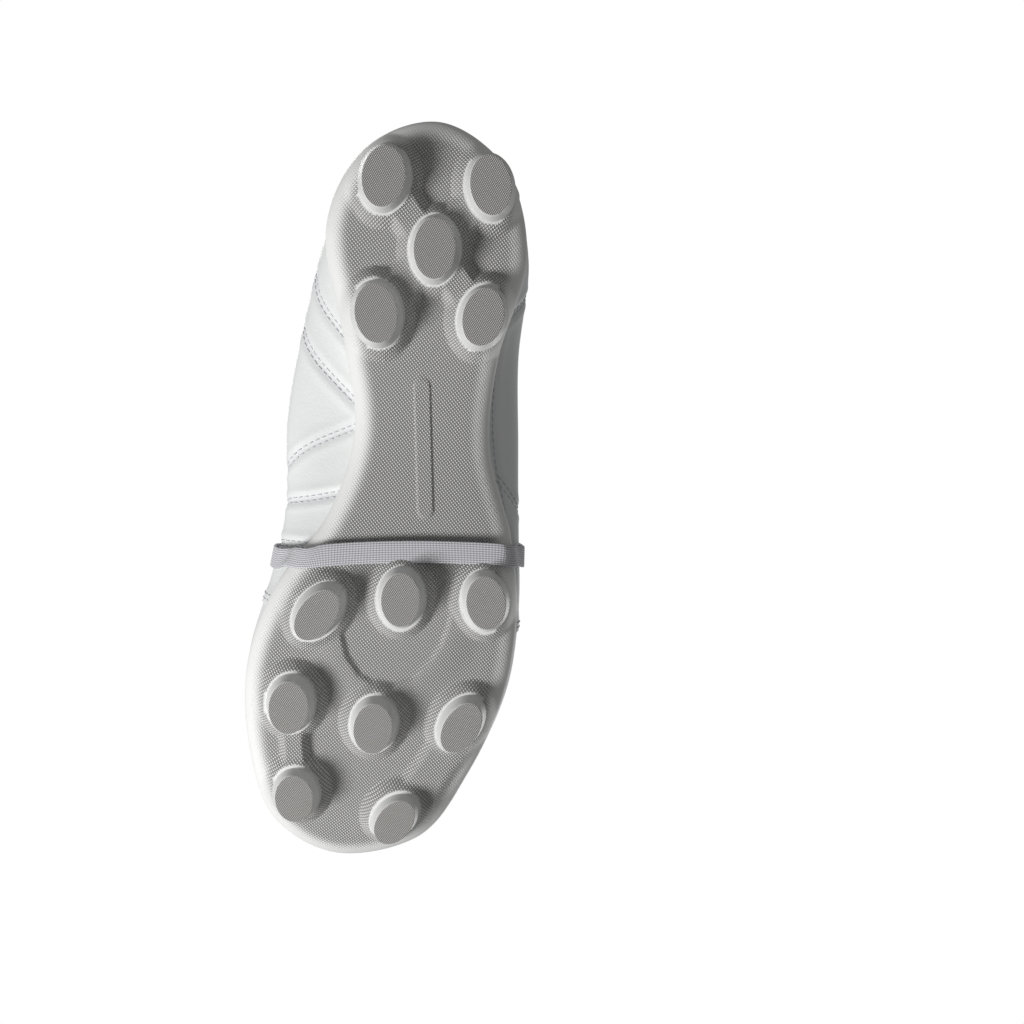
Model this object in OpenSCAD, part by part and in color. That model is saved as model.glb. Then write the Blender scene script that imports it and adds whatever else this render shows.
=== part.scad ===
// Soccer cleat, right shoe, with moulded studs and a fold-over tongue.
// X runs from heel to toe, Y to the medial (big toe) side, Z up. The shoe stands on its studs at Z = 0.

/* [Shoe] */
// Overall length of the outsole
shoe_length = 318; // [298:5:328]
// Height of the sole plate above the ground, under the heel
stud_height = 12.5; // [11:0.5:14]

/* [Outsole] */
// Thickness of the moulded sole plate
plate_thickness = 3.5; // [3:0.1:4]
// Width of the rim that holds the bottom of the upper
rim_width = 2.2; // [1.8:0.1:2.5]
// Height of the hard stud that stands out of the plate's moulded flare
stud_core = 6.5; // [5:0.5:7]
// How far the hard stud spreads from its tip to the flare
stud_taper = 1.8; // [1:0.2:2]
// How far the flare spreads from the stud's tip to the plate
stud_flare = 3.6; // [3:0.2:4]
// Height of the webs that join the heel studs
heel_web_height = 4.5; // [2:0.5:6]
// Height of the webs that join the forefoot studs in pairs
fore_web_height = 3.2; // [1:0.2:4]

/* [Upper] */
// Thickness of the outer leather
leather = 1.4; // [1:0.1:1.5]
// Thickness of the lining
lining = 0.8; // [0.6:0.1:0.9]
// Thickness of the toe puff and heel counter
stiffener = 0.8; // [0.5:0.1:0.9]
// Thickness of the foam in the collar
collar_foam = 4; // [2:0.5:5]
// Eyelets on each side
eyelet_count = 5; // [4:1:6]
// Width of the flat lace
lace_width = 7; // [5:0.5:8]

/* [Tongue] */
// Thickness of the tongue's foam
tongue_foam = 3.4; // [2:0.2:3.6]
// Thickness of each leather face of the tongue and its flap
tongue_leather = 1.2; // [0.8:0.1:1.2]

/* [Band] */
// Width of the elastic band
band_width = 9.4; // [8:0.2:9.6]
// Thickness of the elastic band
band_thickness = 1; // [0.8:0.1:1.2]

/* [Footbed] */
// Thickness of the removable sockliner
sockliner_thickness = 4.5; // [3:0.5:5]
// Thickness of the insole board
board_thickness = 1.6; // [1.2:0.1:2]
// Thickness of the foam filler under the insole board
filler_thickness = 3.2; // [2.6:0.2:3.6]

/* [Hidden] */

// Lengths below belong to a shoe of this length and stud height, and follow the two above.
design_length = 318;
design_stud = 12.5;
k = shoe_length / design_length;
lift = stud_height - design_stud;

// Clear space between two layers
gap = 0.2;
// How far the bottom edge of the upper stands inside the edge of the outsole
upper_inset = rim_width + 0.6;
// How far the insole board and the sockliner stand inside the edge of the outsole
board_inset = 7;
sockliner_inset = 8.2;

// Stations run round the shoe, 0 at the back of the heel, 5 at the inner waist, 10 at the toe.
stations = 20;
// The upper's layers share one grid: four columns to a station, three rows to a level above the rim
columns = 4 * stations;
top_row = 10;

// Edge of the outsole, seen from above: x, y at each station
outline = k * [
    [-156.5, 4], [-142, 32.5], [-109, 44.5], [-66, 32.5], [-28, 23.5],
    [8, 30.5], [42, 49], [77, 56.5], [114, 51.5], [147, 37.5],
    [161.5, 8], [148, -26.5], [114, -43.8], [78, -54], [42, -55],
    [8, -48], [-28, -34], [-66, -32], [-108, -38], [-142, -24.8]];

// Widest line of the upper
girth = k * [
    [-158.8, 4, 46], [-144, 33.5, 46], [-110, 46, 44], [-67, 51.5, 42], [-28, 53.5, 42],
    [9, 50, 40], [43, 52.5, 36], [77, 57, 34], [115.5, 52.5, 36], [150.5, 37.5, 38],
    [163, 8, 39.5], [150.5, -28, 38], [115.5, -45.8, 36], [78, -56, 34], [42, -56.5, 35],
    [8, -52.5, 38], [-28, -47.5, 41], [-67, -42, 42], [-110, -40.5, 44], [-144, -26, 46]];

// Shoulder of the upper, where the sides turn over the foot
shoulder = k * [
    [-156, 4, 76], [-142, 28, 75], [-108, 38, 71], [-66, 43, 68], [-29, 43, 74],
    [8, 38, 71], [44, 37, 62], [78, 38, 56], [112, 33, 52], [137.5, 22, 51],
    [145, 7, 51.5], [137.5, -9, 51], [112, -27, 52], [78, -36, 56], [44, -40, 61],
    [8, -41, 69], [-29, -40, 73], [-66, -38, 67], [-108, -33, 68], [-142, -22, 74]];

// Top line: collar at the back, then down both sides of the throat to its base over the toes
top_line = k * [
    [-149, 3, 101], [-137, 21, 98], [-106, 30, 88], [-66, 32, 84], [-33, 22, 101],
    [0, 16.5, 95], [32, 14, 84], [54, 12, 76], [65, 8.5, 72.5], [69, 5.5, 71],
    [70.5, 2.5, 70.5], [69, -0.5, 71], [65, -3.5, 72.5], [54, -7, 76], [32, -9, 84],
    [0, -11.5, 95], [-33, -17, 101], [-66, -28, 82], [-106, -26, 86], [-137, -16, 98]];

// Underside of the plate, top of the rim and centre line of the sole, along X
plate_line = k * [[-160, 13], [-100, 12.5], [-25, 17.5], [45, 11.5], [100, 12], [130, 14.5], [163, 22]];
rim_line = k * [[-160, 27], [-100, 25], [-25, 26.5], [45, 21], [100, 22], [130, 26], [163, 34]];
spine_line = k * [[-118, 3.5], [-66, 0.5], [-28, -5], [8, -8.5], [42, -3.5], [76, 1], [122, 5]];

// Studs: tip centre x, y, half length, half width, turn, height of the tip, shift of the base towards the toe
heel_places = [
    [-129.5, 23, 11.7, 8.4, 3, 0, 0], [-132.5, -18.5, 11.6, 8.2, -14, 0, 0],
    [-105.5, 0, 11.9, 8.3, -4, 0, 0],
    [-77.5, 19.5, 11.8, 8.5, -14, 0, 0], [-82, -22.5, 11.6, 8.3, 6, 0, 0]];
fore_places = [
    [46.5, 28.5, 12, 7.5, 30, 0, 0], [36, -4.5, 11.4, 8.1, -5, 0, 2], [33, -39.5, 11.4, 8.3, -14, 0, 2],
    [87, 35.5, 11.3, 8.3, -3, 0, 0], [92, 0, 10.9, 8.2, -2, 0, 0], [87.5, -36.5, 11.8, 7.6, 23, 0, 0],
    [127, 29, 10.4, 8.1, -12, 2, 0], [133, -14, 10.7, 7.6, 28, 2, 0]];
all_places = concat(heel_places, fore_places);

// Webs under the plate: the two studs that each one joins, and its radius
heel_webs = [[2, 0, 6], [2, 1, 6], [2, 3, 6], [2, 4, 6]];
fore_webs = [[8, 11, 4.5], [10, 12, 7]];

// Low ridge that curves round the recess of the forefoot's rear middle stud: points, radius and height
recess_ridge = k * [
    [48, 22.5], [60, 21.5], [70, 16.5], [77.5, 8], [80, -3], [76, -15], [66, -24], [55, -28.5], [45, -31]];
recess_ridge_radius = 3;
recess_ridge_height = 1.6;

// Plain raised capsule on the waist: its two ends and radius
waist_rib = [[-51, -2], [0, -10], 3.6];
waist_rib_height = 0.8;

// Column of the seam between the vamp and the quarters, and of the throat's upper end
vamp_seam = 25;
throat_top = 16;

// ---- Curves ----

function spline4(a, b, c, d, t) =
    0.5 * (2 * b + (c - a) * t + (2 * a - 5 * b + 4 * c - d) * t * t
    + (3 * b - a - 3 * c + d) * t * t * t);

function wrap(i, n) = ((i % n) + n) % n;

// Point at station u on a closed rail
function around(rail, u) =
    let (n = len(rail), i = floor(u))
    spline4(rail[wrap(i - 1, n)], rail[wrap(i, n)], rail[wrap(i + 1, n)], rail[wrap(i + 2, n)], u - i);

// Point at parameter t on an open run of points, whose ends run on straight
function along(points, t) =
    let (
        n = len(points),
        i = min(n - 2, max(0, floor(t))),
        before = i == 0 ? 2 * points[0] - points[1] : points[i - 1],
        after = i == n - 2 ? 2 * points[n - 1] - points[n - 2] : points[i + 2]
    )
    spline4(before, points[i], points[i + 1], after, t - i);

// Smooth height at x through a list of x, height points
function slope(line, i) =
    let (a = max(0, i - 1), b = min(len(line) - 1, i + 1))
    (line[b][1] - line[a][1]) / (line[b][0] - line[a][0]);

function height(line, x_raw) =
    let (
        n = len(line),
        x = min(line[n - 1][0], max(line[0][0], x_raw)),
        i = min(n - 2, len([for (j = [1:n - 1]) if (line[j][0] <= x) j])),
        h = line[i + 1][0] - line[i][0],
        t = (x - line[i][0]) / h
    )
    (1 + 2 * t) * (1 - t) * (1 - t) * line[i][1] + t * t * (3 - 2 * t) * line[i + 1][1]
    + t * (1 - t) * (1 - t) * h * slope(line, i) - t * t * (1 - t) * h * slope(line, i + 1);

function unit(v) = v / norm(v);
function mix(a, b, t) = a + (b - a) * t;
function smooth(t_raw) = let (t = min(1, max(0, t_raw))) t * t * (3 - 2 * t);

// ---- Sole outline ----

function plate_z(x) = height(plate_line, x) + lift;
function rim_z(x) = height(rim_line, x) + lift;
function plate_top(x) = plate_z(x) + plate_thickness;

function outward(u) =
    let (d = around(outline, u + 0.05) - around(outline, u - 0.05)) unit([-d[1], d[0]]);

// Point a given distance inside the outsole's edge
function inside(u, inset) = around(outline, u) - inset * outward(u);

// Point part of the way from the sole's centre line to its edge
function inward(u, share) =
    let (
        edge = around(outline, u),
        x = min(122 * k, max(-118 * k, edge[0])),
        middle = [x, height(spine_line, x)]
    )
    mix(middle, edge, share);

// ---- Upper surface: level 0 inside the rim, 1 at the rim, 2 girth, 3 shoulder, 4 top line ----

function raised(p) = [p[0], p[1], p[2] + lift];

function upper(u, v) =
    let (
        foot = inside(u, upper_inset),
        base = [foot[0], foot[1], plate_top(foot[0]) + gap],
        feather = [foot[0], foot[1], rim_z(foot[0]) + 0.8],
        rows = [feather, raised(around(girth, u)), raised(around(shoulder, u)), raised(around(top_line, u))]
    )
    v < 1 ? mix(base, feather, v) : along(rows, v - 1);

function upper_normal(u, v) =
    let (step = 0.04, low = max(0, v - step), high = min(4, v + step))
    unit(cross(upper(u, high) - upper(u, low), upper(u + step, v) - upper(u - step, v)));

// Direction up the upper at the top line
function uphill(u) = unit(upper(u, 4) - upper(u, 3.9));

// Point that stands a distance out from the upper's surface
function skin(u, v, out) = upper(u, v) + out * upper_normal(u, v);

// Curve over the instep, from the medial shoulder (0) to the lateral shoulder (5)
function instep(u, q, out) =
    along([skin(u, 3.2, out), skin(u, 3.6, out), skin(u, 4, out),
        skin(stations - u, 4, out), skin(stations - u, 3.6, out), skin(stations - u, 3.2, out)], q);

// ---- Solids from curves ----

function quad(a, b, c, d) = [[a, b, c], [a, c, d]];

// Sheet between two surfaces, each a function of two shares from 0 to 1
module sheet(outer, inner, nu, nv) {
    count = (nu + 1) * (nv + 1);
    function o(i, j) = i * (nv + 1) + j;
    function n(i, j) = count + o(i, j);
    points = concat(
        [for (i = [0:nu]) for (j = [0:nv]) outer(i / nu, j / nv)],
        [for (i = [0:nu]) for (j = [0:nv]) inner(i / nu, j / nv)]);
    faces = concat(
        [for (i = [0:nu - 1]) for (j = [0:nv - 1])
            each quad(o(i, j), o(i + 1, j), o(i + 1, j + 1), o(i, j + 1))],
        [for (i = [0:nu - 1]) for (j = [0:nv - 1])
            each quad(n(i, j), n(i, j + 1), n(i + 1, j + 1), n(i + 1, j))],
        [for (i = [0:nu - 1]) each quad(o(i + 1, 0), o(i, 0), n(i, 0), n(i + 1, 0))],
        [for (i = [0:nu - 1]) each quad(o(i, nv), o(i + 1, nv), n(i + 1, nv), n(i, nv))],
        [for (j = [0:nv - 1]) each quad(o(0, j), o(0, j + 1), n(0, j + 1), n(0, j))],
        [for (j = [0:nv - 1]) each quad(o(nu, j + 1), o(nu, j), n(nu, j), n(nu, j + 1))]);
    polyhedron(points, faces, convexity = 8);
}

function level(row) = row < 1 ? row : 1 + (row - 1) / 3;

// Layer of the upper between two distances from its surface, over columns i0 to i1 and rows j0 to j1
module layer(i0, i1, j0, j1, out0, out1) {
    sheet(
        function (a, b) skin(mix(i0, i1, a) / 4, level(mix(j0, j1, b)), out0),
        function (a, b) skin(mix(i0, i1, a) / 4, level(mix(j0, j1, b)), out1),
        round(i1 - i0), round(j1 - j0));
}

// Solid from rings that run round the shoe, closed across its middle at both ends
module ring_solid(rings) {
    n = len(rings[0]);
    m = len(rings);
    function id(r, i) = r * n + i % n;
    walls = [for (r = [0:m - 2]) for (i = [0:n - 1])
        each quad(id(r, i), id(r, i + 1), id(r + 1, i + 1), id(r + 1, i))];
    bottom = [for (i = [0:n / 2 - 1])
        each i == 0 ? [[id(0, 0), id(0, n - 1), id(0, 1)]]
        : i == n / 2 - 1 ? [[id(0, i), id(0, i + 2), id(0, i + 1)]]
        : quad(id(0, i), id(0, n - i), id(0, n - i - 1), id(0, i + 1))];
    top = [for (face = bottom) [for (j = [2:-1:0]) face[j] + (m - 1) * n]];
    polyhedron([for (ring = rings) each ring], concat(bottom, walls, top), convexity = 8);
}

// Ring at an inset from the outsole's edge, at a height above the plate's underside
function inset_ring(count, inset, above) =
    [for (i = [0:count - 1])
        let (p = inside(i * stations / count, inset)) [p[0], p[1], plate_z(p[0]) + above]];

function inner_ring(count, share, above) =
    [for (i = [0:count - 1])
        let (p = inward(i * stations / count, share)) [p[0], p[1], plate_z(p[0]) + above]];

function rim_ring(count, inset, below) =
    [for (i = [0:count - 1]) let (p = inside(i * stations / count, inset)) [p[0], p[1], rim_z(p[0]) - below]];

// Flat layer over the plate, inside the upper
module slab(inset, low, high, count = 48) {
    ring_solid([inset_ring(count, inset, low), inset_ring(count, inset, high)]);
}

// Closed strap round a loop of points, each with its own direction across
module strap(loop, across, width, thickness) {
    n = len(loop);
    function heading(i) = unit(loop[(i + 1) % n] - loop[(i + n - 1) % n]);
    function out(i) = unit(cross(heading(i), across[i]));
    function corner(i, a, b) = loop[i] + a * width / 2 * across[i] + b * thickness * out(i);
    points = [for (i = [0:n - 1])
        each [corner(i, 1, 0), corner(i, -1, 0), corner(i, -1, 1), corner(i, 1, 1)]];
    function id(i, j) = 4 * (i % n) + j % 4;
    polyhedron(points, [for (i = [0:n - 1]) for (j = [0:3])
        each quad(id(i, j), id(i, j + 1), id(i + 1, j + 1), id(i + 1, j))], convexity = 8);
}

// Flat oval swept along a run of points, each with its own direction across
module sweep_oval(path, across, width, thick, sides) {
    n = len(path);
    function heading(i) = unit(path[min(n - 1, i + 1)] - path[max(0, i - 1)]);
    function over(i) = unit(cross(across[i], heading(i)));
    points = [for (i = [0:n - 1]) for (j = [0:sides - 1])
        path[i] + width / 2 * cos(360 * j / sides) * across[i] + thick / 2 * sin(360 * j / sides) * over(i)];
    function id(i, j) = i * sides + j % sides;
    polyhedron(points, concat(
        [[for (j = [sides - 1:-1:0]) j]],
        [for (i = [0:n - 2]) for (j = [0:sides - 1])
            each quad(id(i, j), id(i, j + 1), id(i + 1, j + 1), id(i + 1, j))],
        [[for (j = [0:sides - 1]) id(n - 1, j)]]), convexity = 8);
}

module oval(long, wide) {
    polygon([for (t = [0:15:345]) [long * cos(t), wide * sin(t)]]);
}

// ---- Outsole and studs ----

module at_stud(stud, shift = 0) {
    translate([k * stud[0] + shift, k * stud[1], 0]) rotate(stud[4]) children();
}

module stud_disc(stud, spread, z, shift = 0) {
    translate([0, 0, z]) at_stud(stud, shift) linear_extrude(0.5) oval(stud[2] + spread, stud[3] + spread);
}

// Part of the plate that rises to meet the stud
module flare(stud) {
    hull() {
        stud_disc(stud, stud_taper + 0.3, stud[5] + stud_core);
        stud_disc(stud, stud_flare, plate_z(k * stud[0]) + 1, stud[6]);
    }
}

module hard_stud(stud) {
    hull() {
        stud_disc(stud, 0, stud[5]);
        stud_disc(stud, stud_taper, stud[5] + stud_core - 0.5);
    }
}

module mound(place, rise, radius) {
    translate([place[0], place[1], plate_z(place[0]) - rise])
        cylinder(h = rise + 1, r1 = radius, r2 = radius + 2, $fn = 24);
}

module web(link, rise) {
    hull() for (i = [link[0], link[1]]) mound(k * all_places[i], rise, link[2]);
}

module outsole() {
    count = 64;
    round_in = 6;
    round_up = 6;
    edge_steps = 3;
    color([0.74, 0.74, 0.72]) {
        ring_solid(concat(
            [inner_ring(count, 0.4, 0), inner_ring(count, 0.75, 0)],
            [for (i = [0:edge_steps]) let (a = 90 * i / edge_steps)
                inset_ring(count, round_in * (1 - sin(a)), round_up * (1 - cos(a)))],
            [rim_ring(count, 0, 0.8), rim_ring(count, 0.8, 0), rim_ring(count, rim_width, 0)],
            [inset_ring(count, rim_width, plate_thickness)],
            [inner_ring(count, 0.75, plate_thickness), inner_ring(count, 0.4, plate_thickness)]));
        for (stud = all_places) flare(stud);
        for (link = heel_webs) web(link, heel_web_height);
        for (link = fore_webs) web(link, fore_web_height);
        for (i = [1:len(recess_ridge) - 1])
            hull() for (j = [i - 1, i]) mound(recess_ridge[j], recess_ridge_height, recess_ridge_radius);
        hull() for (end = [waist_rib[0], waist_rib[1]])
            translate([k * end[0], k * end[1], plate_z(k * end[0]) - waist_rib_height])
                cylinder(h = 3, r = waist_rib[2], $fn = 24);
    }
}

module heel_studs() {
    color([0.66, 0.65, 0.63]) for (stud = heel_places) hard_stud(stud);
}

module forefoot_studs() {
    color([0.66, 0.65, 0.63]) for (stud = fore_places) hard_stud(stud);
}

// ---- Inside the bottom ----

filler_low = plate_thickness + gap;
filler_high = filler_low + filler_thickness;
board_low = filler_high + gap;
board_high = board_low + board_thickness;
sockliner_low = board_high + 0.3;
shank_thickness = 1.4;
shank_ends = [-88 * k, 6 * k];
shank_half_width = 8;

// Strip that follows the plate along the waist
module waist_strip(margin, low, high, steps) {
    x0 = shank_ends[0] - margin;
    x1 = shank_ends[1] + margin;
    width = shank_half_width + margin;
    function place(a, b, z) =
        let (x = mix(x0, x1, a)) [x, -4 * k + mix(width, -width, b), plate_z(x) + z];
    sheet(function (a, b) place(a, b, high), function (a, b) place(a, b, low), steps, 1);
}

module shank() {
    color([0.25, 0.26, 0.28]) waist_strip(0, filler_high - shank_thickness, filler_high, 12);
}

module bottom_filler() {
    color([0.85, 0.78, 0.62]) difference() {
        slab(board_inset + 0.4, filler_low, filler_high);
        waist_strip(0.5, filler_high - shank_thickness - gap, filler_high + 2, 12);
    }
}

module insole_board() {
    color([0.8, 0.72, 0.58]) slab(board_inset, board_low, board_high);
}

module sockliner() {
    color([0.9, 0.9, 0.9]) slab(sockliner_inset, sockliner_low, sockliner_low + sockliner_thickness);
}

// ---- Upper ----

seam_gap = 0.02;
quarter_end = vamp_seam - seam_gap;
vamp_end = vamp_seam + seam_gap;
stiffener_in = leather + gap;
lining_in = leather + stiffener + 2.5 * gap;
lining_end = lining_in + lining;
trim_gap = 0.35;
trim_out = trim_gap + leather - gap;

module vamp() {
    color([0.92, 0.93, 0.92]) layer(vamp_end, columns - vamp_end, 0, top_row, 0, -leather);
}

module medial_quarter() {
    color([0.92, 0.93, 0.92]) layer(seam_gap, quarter_end, 0, top_row, 0, -leather);
}

module lateral_quarter() {
    color([0.92, 0.93, 0.92]) layer(columns - quarter_end, columns - seam_gap, 0, top_row, 0, -leather);
}

// Backstay that narrows towards the collar
module heel_overlay() {
    function station(a, b) = mix(-1, 1, a) * mix(1.4, 0.7, b);
    color([0.88, 0.89, 0.88]) sheet(
        function (a, b) skin(station(a, b), mix(1.3, 3.75, b), trim_out),
        function (a, b) skin(station(a, b), mix(1.3, 3.75, b), trim_gap),
        12, 8);
}

module eyestay(i0, i1) {
    color([0.9, 0.91, 0.9]) layer(i0, i1, top_row - 1, top_row, trim_out, trim_gap);
}

module medial_eyestay() {
    eyestay(throat_top, quarter_end);
}

module lateral_eyestay() {
    eyestay(columns - quarter_end, columns - throat_top);
}

eyelet_v = 3.8;
eyelet_height = 0.7;
first_eyelet = 4.3;
last_eyelet = 6.05;

function eyelet_u(i) = mix(first_eyelet, last_eyelet, i / (eyelet_count - 1));

// Ring that stands on the eyestay, square to it
module eyelet(u) {
    out = upper_normal(u, eyelet_v);
    turn = acos(out[2]);
    heading = atan2(out[1], out[0]);
    translate(skin(u, eyelet_v, trim_out + 0.4)) rotate([0, turn, heading]) difference() {
        cylinder(h = eyelet_height, r = 4, $fn = 32);
        translate([0, 0, -1]) cylinder(h = eyelet_height + 2, r = 2.3, $fn = 32);
    }
}

module medial_eyelets() {
    color([0.8, 0.8, 0.8]) for (i = [0:eyelet_count - 1]) eyelet(eyelet_u(i));
}

module lateral_eyelets() {
    color([0.8, 0.8, 0.8]) for (i = [0:eyelet_count - 1]) eyelet(stations - eyelet_u(i));
}

module toe_puff() {
    color([0.75, 0.7, 0.6]) layer(32, 48, 1, 6, -stiffener_in, -stiffener_in - stiffener);
}

module heel_counter() {
    color([0.75, 0.7, 0.6]) layer(-10, 10, 1, 6, -stiffener_in, -stiffener_in - stiffener);
}

module vamp_lining() {
    color([0.8, 0.8, 0.78]) layer(vamp_end, columns - vamp_end, 0, top_row, -lining_in, -lining_end);
}

// The collar's foam starts behind the throat, and the lining stands off round it
collar_column = 13;
collar_row = 8;
collar_in = leather + collar_foam + 2 * trim_gap;

function from_heel(u) = min(u, stations - u);

function lining_depth(u, v) =
    mix(lining_in, collar_in,
        smooth((v - level(collar_row - 1)) * 3) * smooth(collar_column + 2 - 4 * from_heel(u)));

module side_lining(i0, i1) {
    function face(a, b, more) =
        let (u = mix(i0, i1, a) / 4, v = level(top_row * b))
        skin(u, v, -lining_depth(u, v) - more);
    color([0.8, 0.8, 0.78])
        sheet(function (a, b) face(a, b, 0), function (a, b) face(a, b, lining), round(i1 - i0), top_row);
}

module medial_lining() {
    side_lining(seam_gap, quarter_end);
}

module lateral_lining() {
    side_lining(columns - quarter_end, columns - seam_gap);
}

module collar_padding() {
    inner = leather + trim_gap;
    color([0.95, 0.9, 0.7])
        layer(-collar_column, collar_column, collar_row, top_row, -inner, -inner - collar_foam);
}

// Rolled edge over the gap between the quarters and the lining
module collar_binding() {
    width = collar_in + lining;
    thick = 2.6;
    end = (collar_column + 2) / 4;
    places = [for (i = [0:30]) wrap(mix(-end, end, i / 30), stations)];
    rise = thick / 2 + 0.5;
    path = [for (u = places) skin(u, 4, -(leather + lining_depth(u, 4)) / 2) + rise * uphill(u)];
    color([0.9, 0.9, 0.9]) sweep_oval(path, [for (u = places) upper_normal(u, 4)], width, thick, 10);
}

// ---- Tongue and its fold-over flap ----

tongue_out = -lining_end - 1.6;
tongue_middle = 2.5 * k;

// Rows across the tongue inside the throat: station, and how far its sides reach down the instep curve
throat_rows = [[4.25, 2], [5, 1.5], [5.8, 1.1], [6.6, 0.9], [7.3, 0.9]];
// Rows above the throat: x, z at the middle, half width and droop of the sides
free_rows = k * [[-46, 115, 22, 4], [-54, 128, 31, 7]];
// The tongue runs on under the vamp from its last row
tongue_root = k * [17, 0, -8];

function free_row(row, w, out) =
    let (side = 1 - 2 * w)
    [row[0] + out * 0.8, tongue_middle + row[2] * side, row[1] + lift - row[3] * side * side + out * 0.5];

// Tongue surface: a share from its top to its base, a share across, and a distance out
function tongue_point(s, w, out) =
    let (inner = [for (row = throat_rows) instep(row[0], mix(row[1], 5 - row[1], w), tongue_out + out)])
    along(concat([free_row(free_rows[1], w, out), free_row(free_rows[0], w, out)],
        inner, [inner[4] + tongue_root]), 7 * s);

tongue_gap = 0.35;

module tongue_layer(out, thickness, margin) {
    sheet(
        function (a, b) tongue_point(a, mix(margin, 1 - margin, b), -out),
        function (a, b) tongue_point(a, mix(margin, 1 - margin, b), -out - thickness),
        16, 10);
}

module tongue() {
    color([0.92, 0.93, 0.92]) tongue_layer(0, tongue_leather, 0);
}

module tongue_padding() {
    color([0.95, 0.9, 0.7]) tongue_layer(tongue_leather + tongue_gap, tongue_foam, 0.04);
}

module tongue_lining() {
    color([0.8, 0.8, 0.78]) tongue_layer(tongue_leather + tongue_foam + 2 * tongue_gap, lining, 0.02);
}

// The flap lies clear over the lace and the eyelets, and close to the leather at its sides and free end
flap_middle_out = 5;
flap_fall_out = 3.8;
flap_front_out = 2;
flap_side_out = 1.2;
// Stations of the two rows that the band crosses between, and of the corners of the free end
flap_stations = [5.2, 6];
flap_front = 7.3;
flap_rows = k * [[-53.4, 129.4, 32, 7], [-46.5, 133.3, 33, 7], [-34, 126, 35, 8.5]];
flap_thickness = tongue_leather + lining + tongue_gap;

function flap_rest(q, middle) = mix(flap_side_out, middle, smooth((min(q, 5 - q) - 0.35) / 0.7));

// Free end of the flap, which curves across the vamp in front of the throat
function front_row(w, out) =
    skin(mix(flap_front, stations - flap_front, w), 3.25 + 0.5 * (1 - pow(2 * w - 1, 2)), out);

// Rows at the fold, which the hinge lies under: they lean forward as they turn over
function flap_row(i, w, out) =
    let (row = flap_rows[i], side = 1 - 2 * w, lean = [0, 0.35, 0.6][i], rise = [1, 0.9, 0.8][i])
    [row[0] + out * lean, tongue_middle + row[2] * side, row[1] + lift - row[3] * side * side + out * rise];

function flap_point(s, w, out) =
    let (
        q = mix(0.35, 4.65, w),
        rest = flap_rest(q, flap_middle_out) + out,
        fall = flap_rest(q, flap_fall_out) + out,
        corner = pow(2 * w - 1, 4) * smooth((s - 0.55) / 0.45)
    )
    along([flap_row(0, w, out), flap_row(1, w, out), flap_row(2, w, out), instep(4.45, q, rest + 2.5),
        instep(flap_stations[0], q, rest), instep(flap_stations[1], q, rest), instep(6.8, q, fall),
        front_row(w, flap_rest(q, flap_front_out) + out)],
        7 * s * (1 - 0.12 * corner));

module tongue_flap() {
    color([0.92, 0.93, 0.92]) sheet(
        function (a, b) flap_point(a, b, flap_thickness),
        function (a, b) flap_point(a, b, lining + tongue_gap),
        18, 12);
}

module flap_lining() {
    color([0.8, 0.8, 0.78]) sheet(
        function (a, b) flap_point(a, mix(0.02, 0.98, b), lining),
        function (a, b) flap_point(a, mix(0.02, 0.98, b), 0),
        18, 12);
}

// ---- Lace and band ----

lace_out = trim_out + eyelet_height + 0.6;
lace_thickness = 1.4;
// Stations covered by one millimetre along the throat
station_per_mm = 1 / 33;

module lace() {
    spread = lace_width * station_per_mm;
    color([0.95, 0.95, 0.95]) for (i = [0:eyelet_count - 1]) {
        u = eyelet_u(i);
        sheet(
            function (a, b) instep(u + (a - 0.5) * spread, mix(1.5, 3.5, b), lace_out + lace_thickness),
            function (a, b) instep(u + (a - 0.5) * spread, mix(1.5, 3.5, b), lace_out),
            2, 10);
    }
}

// The band crosses the shoe at a slight slant, further forward on the medial side
band_medial = 5.66;
band_lateral = 5.29;

// Inner face of the band's path round the sole: x, y, z and slant, from the lateral side to the medial side
band_under = [
    [15.9, -51.5, 23, -0.26], [15.3, -49.9, 17, -0.26], [14.8, -46.8, 13.4, -0.24], [14.2, -42, 11.9, -0.15],
    [15.5, -25, 11.4, -0.11], [17.7, -5, 11.3, -0.11], [20.8, 15, 11.4, -0.15], [23.6, 29, 11.5, -0.1],
    [26.2, 37.4, 12.6, 0.35], [27.3, 42.4, 17, 0.5], [29.3, 44.9, 24, 0.45]];
band_tilt = -0.08;

// Clear space between the band and the flap, and how far it stands off the leather at the sides
band_gap = 0.8;
band_out = 1.4;

function flap_share(u) = (4 + (u - flap_stations[0]) / (flap_stations[1] - flap_stations[0])) / 7;

// The band lies along the flap over the instep, and level across the sides and the sole
function band_over(w, along_flap) =
    flap_point(flap_share(mix(band_medial, band_lateral, w)) + along_flap, w, flap_thickness + band_gap);

// Points of the band off the flap, each with its direction across
band_level = concat(
    [for (v = [2.8, 2.3, 1.8]) [skin(stations - band_lateral, v, band_out), [1, -0.12, 0]]],
    [for (p = band_under) [k * [p[0], p[1], p[2]] + [0, 0, lift], [1, p[3], band_tilt]]],
    [for (v = [1.6, 2.1, 2.7]) [skin(band_medial, v, band_out), [1, 0.1, 0]]]);
band_shares = [0.02:0.12:0.98];
band_points = concat([for (w = band_shares) band_over(w, 0)], [for (p = band_level) p[0]]);
band_across = concat(
    [for (w = band_shares) unit(band_over(w, 0.01) - band_over(w, -0.01))],
    [for (p = band_level) unit(p[1])]);

module elastic_band() {
    steps = 2;
    n = len(band_points);
    places = [for (i = [0:n * steps - 1]) i / steps];
    color([0.86, 0.86, 0.9]) strap(
        [for (t = places) around(band_points, t)], [for (t = places) unit(around(band_across, t))],
        band_width, band_thickness);
}

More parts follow.
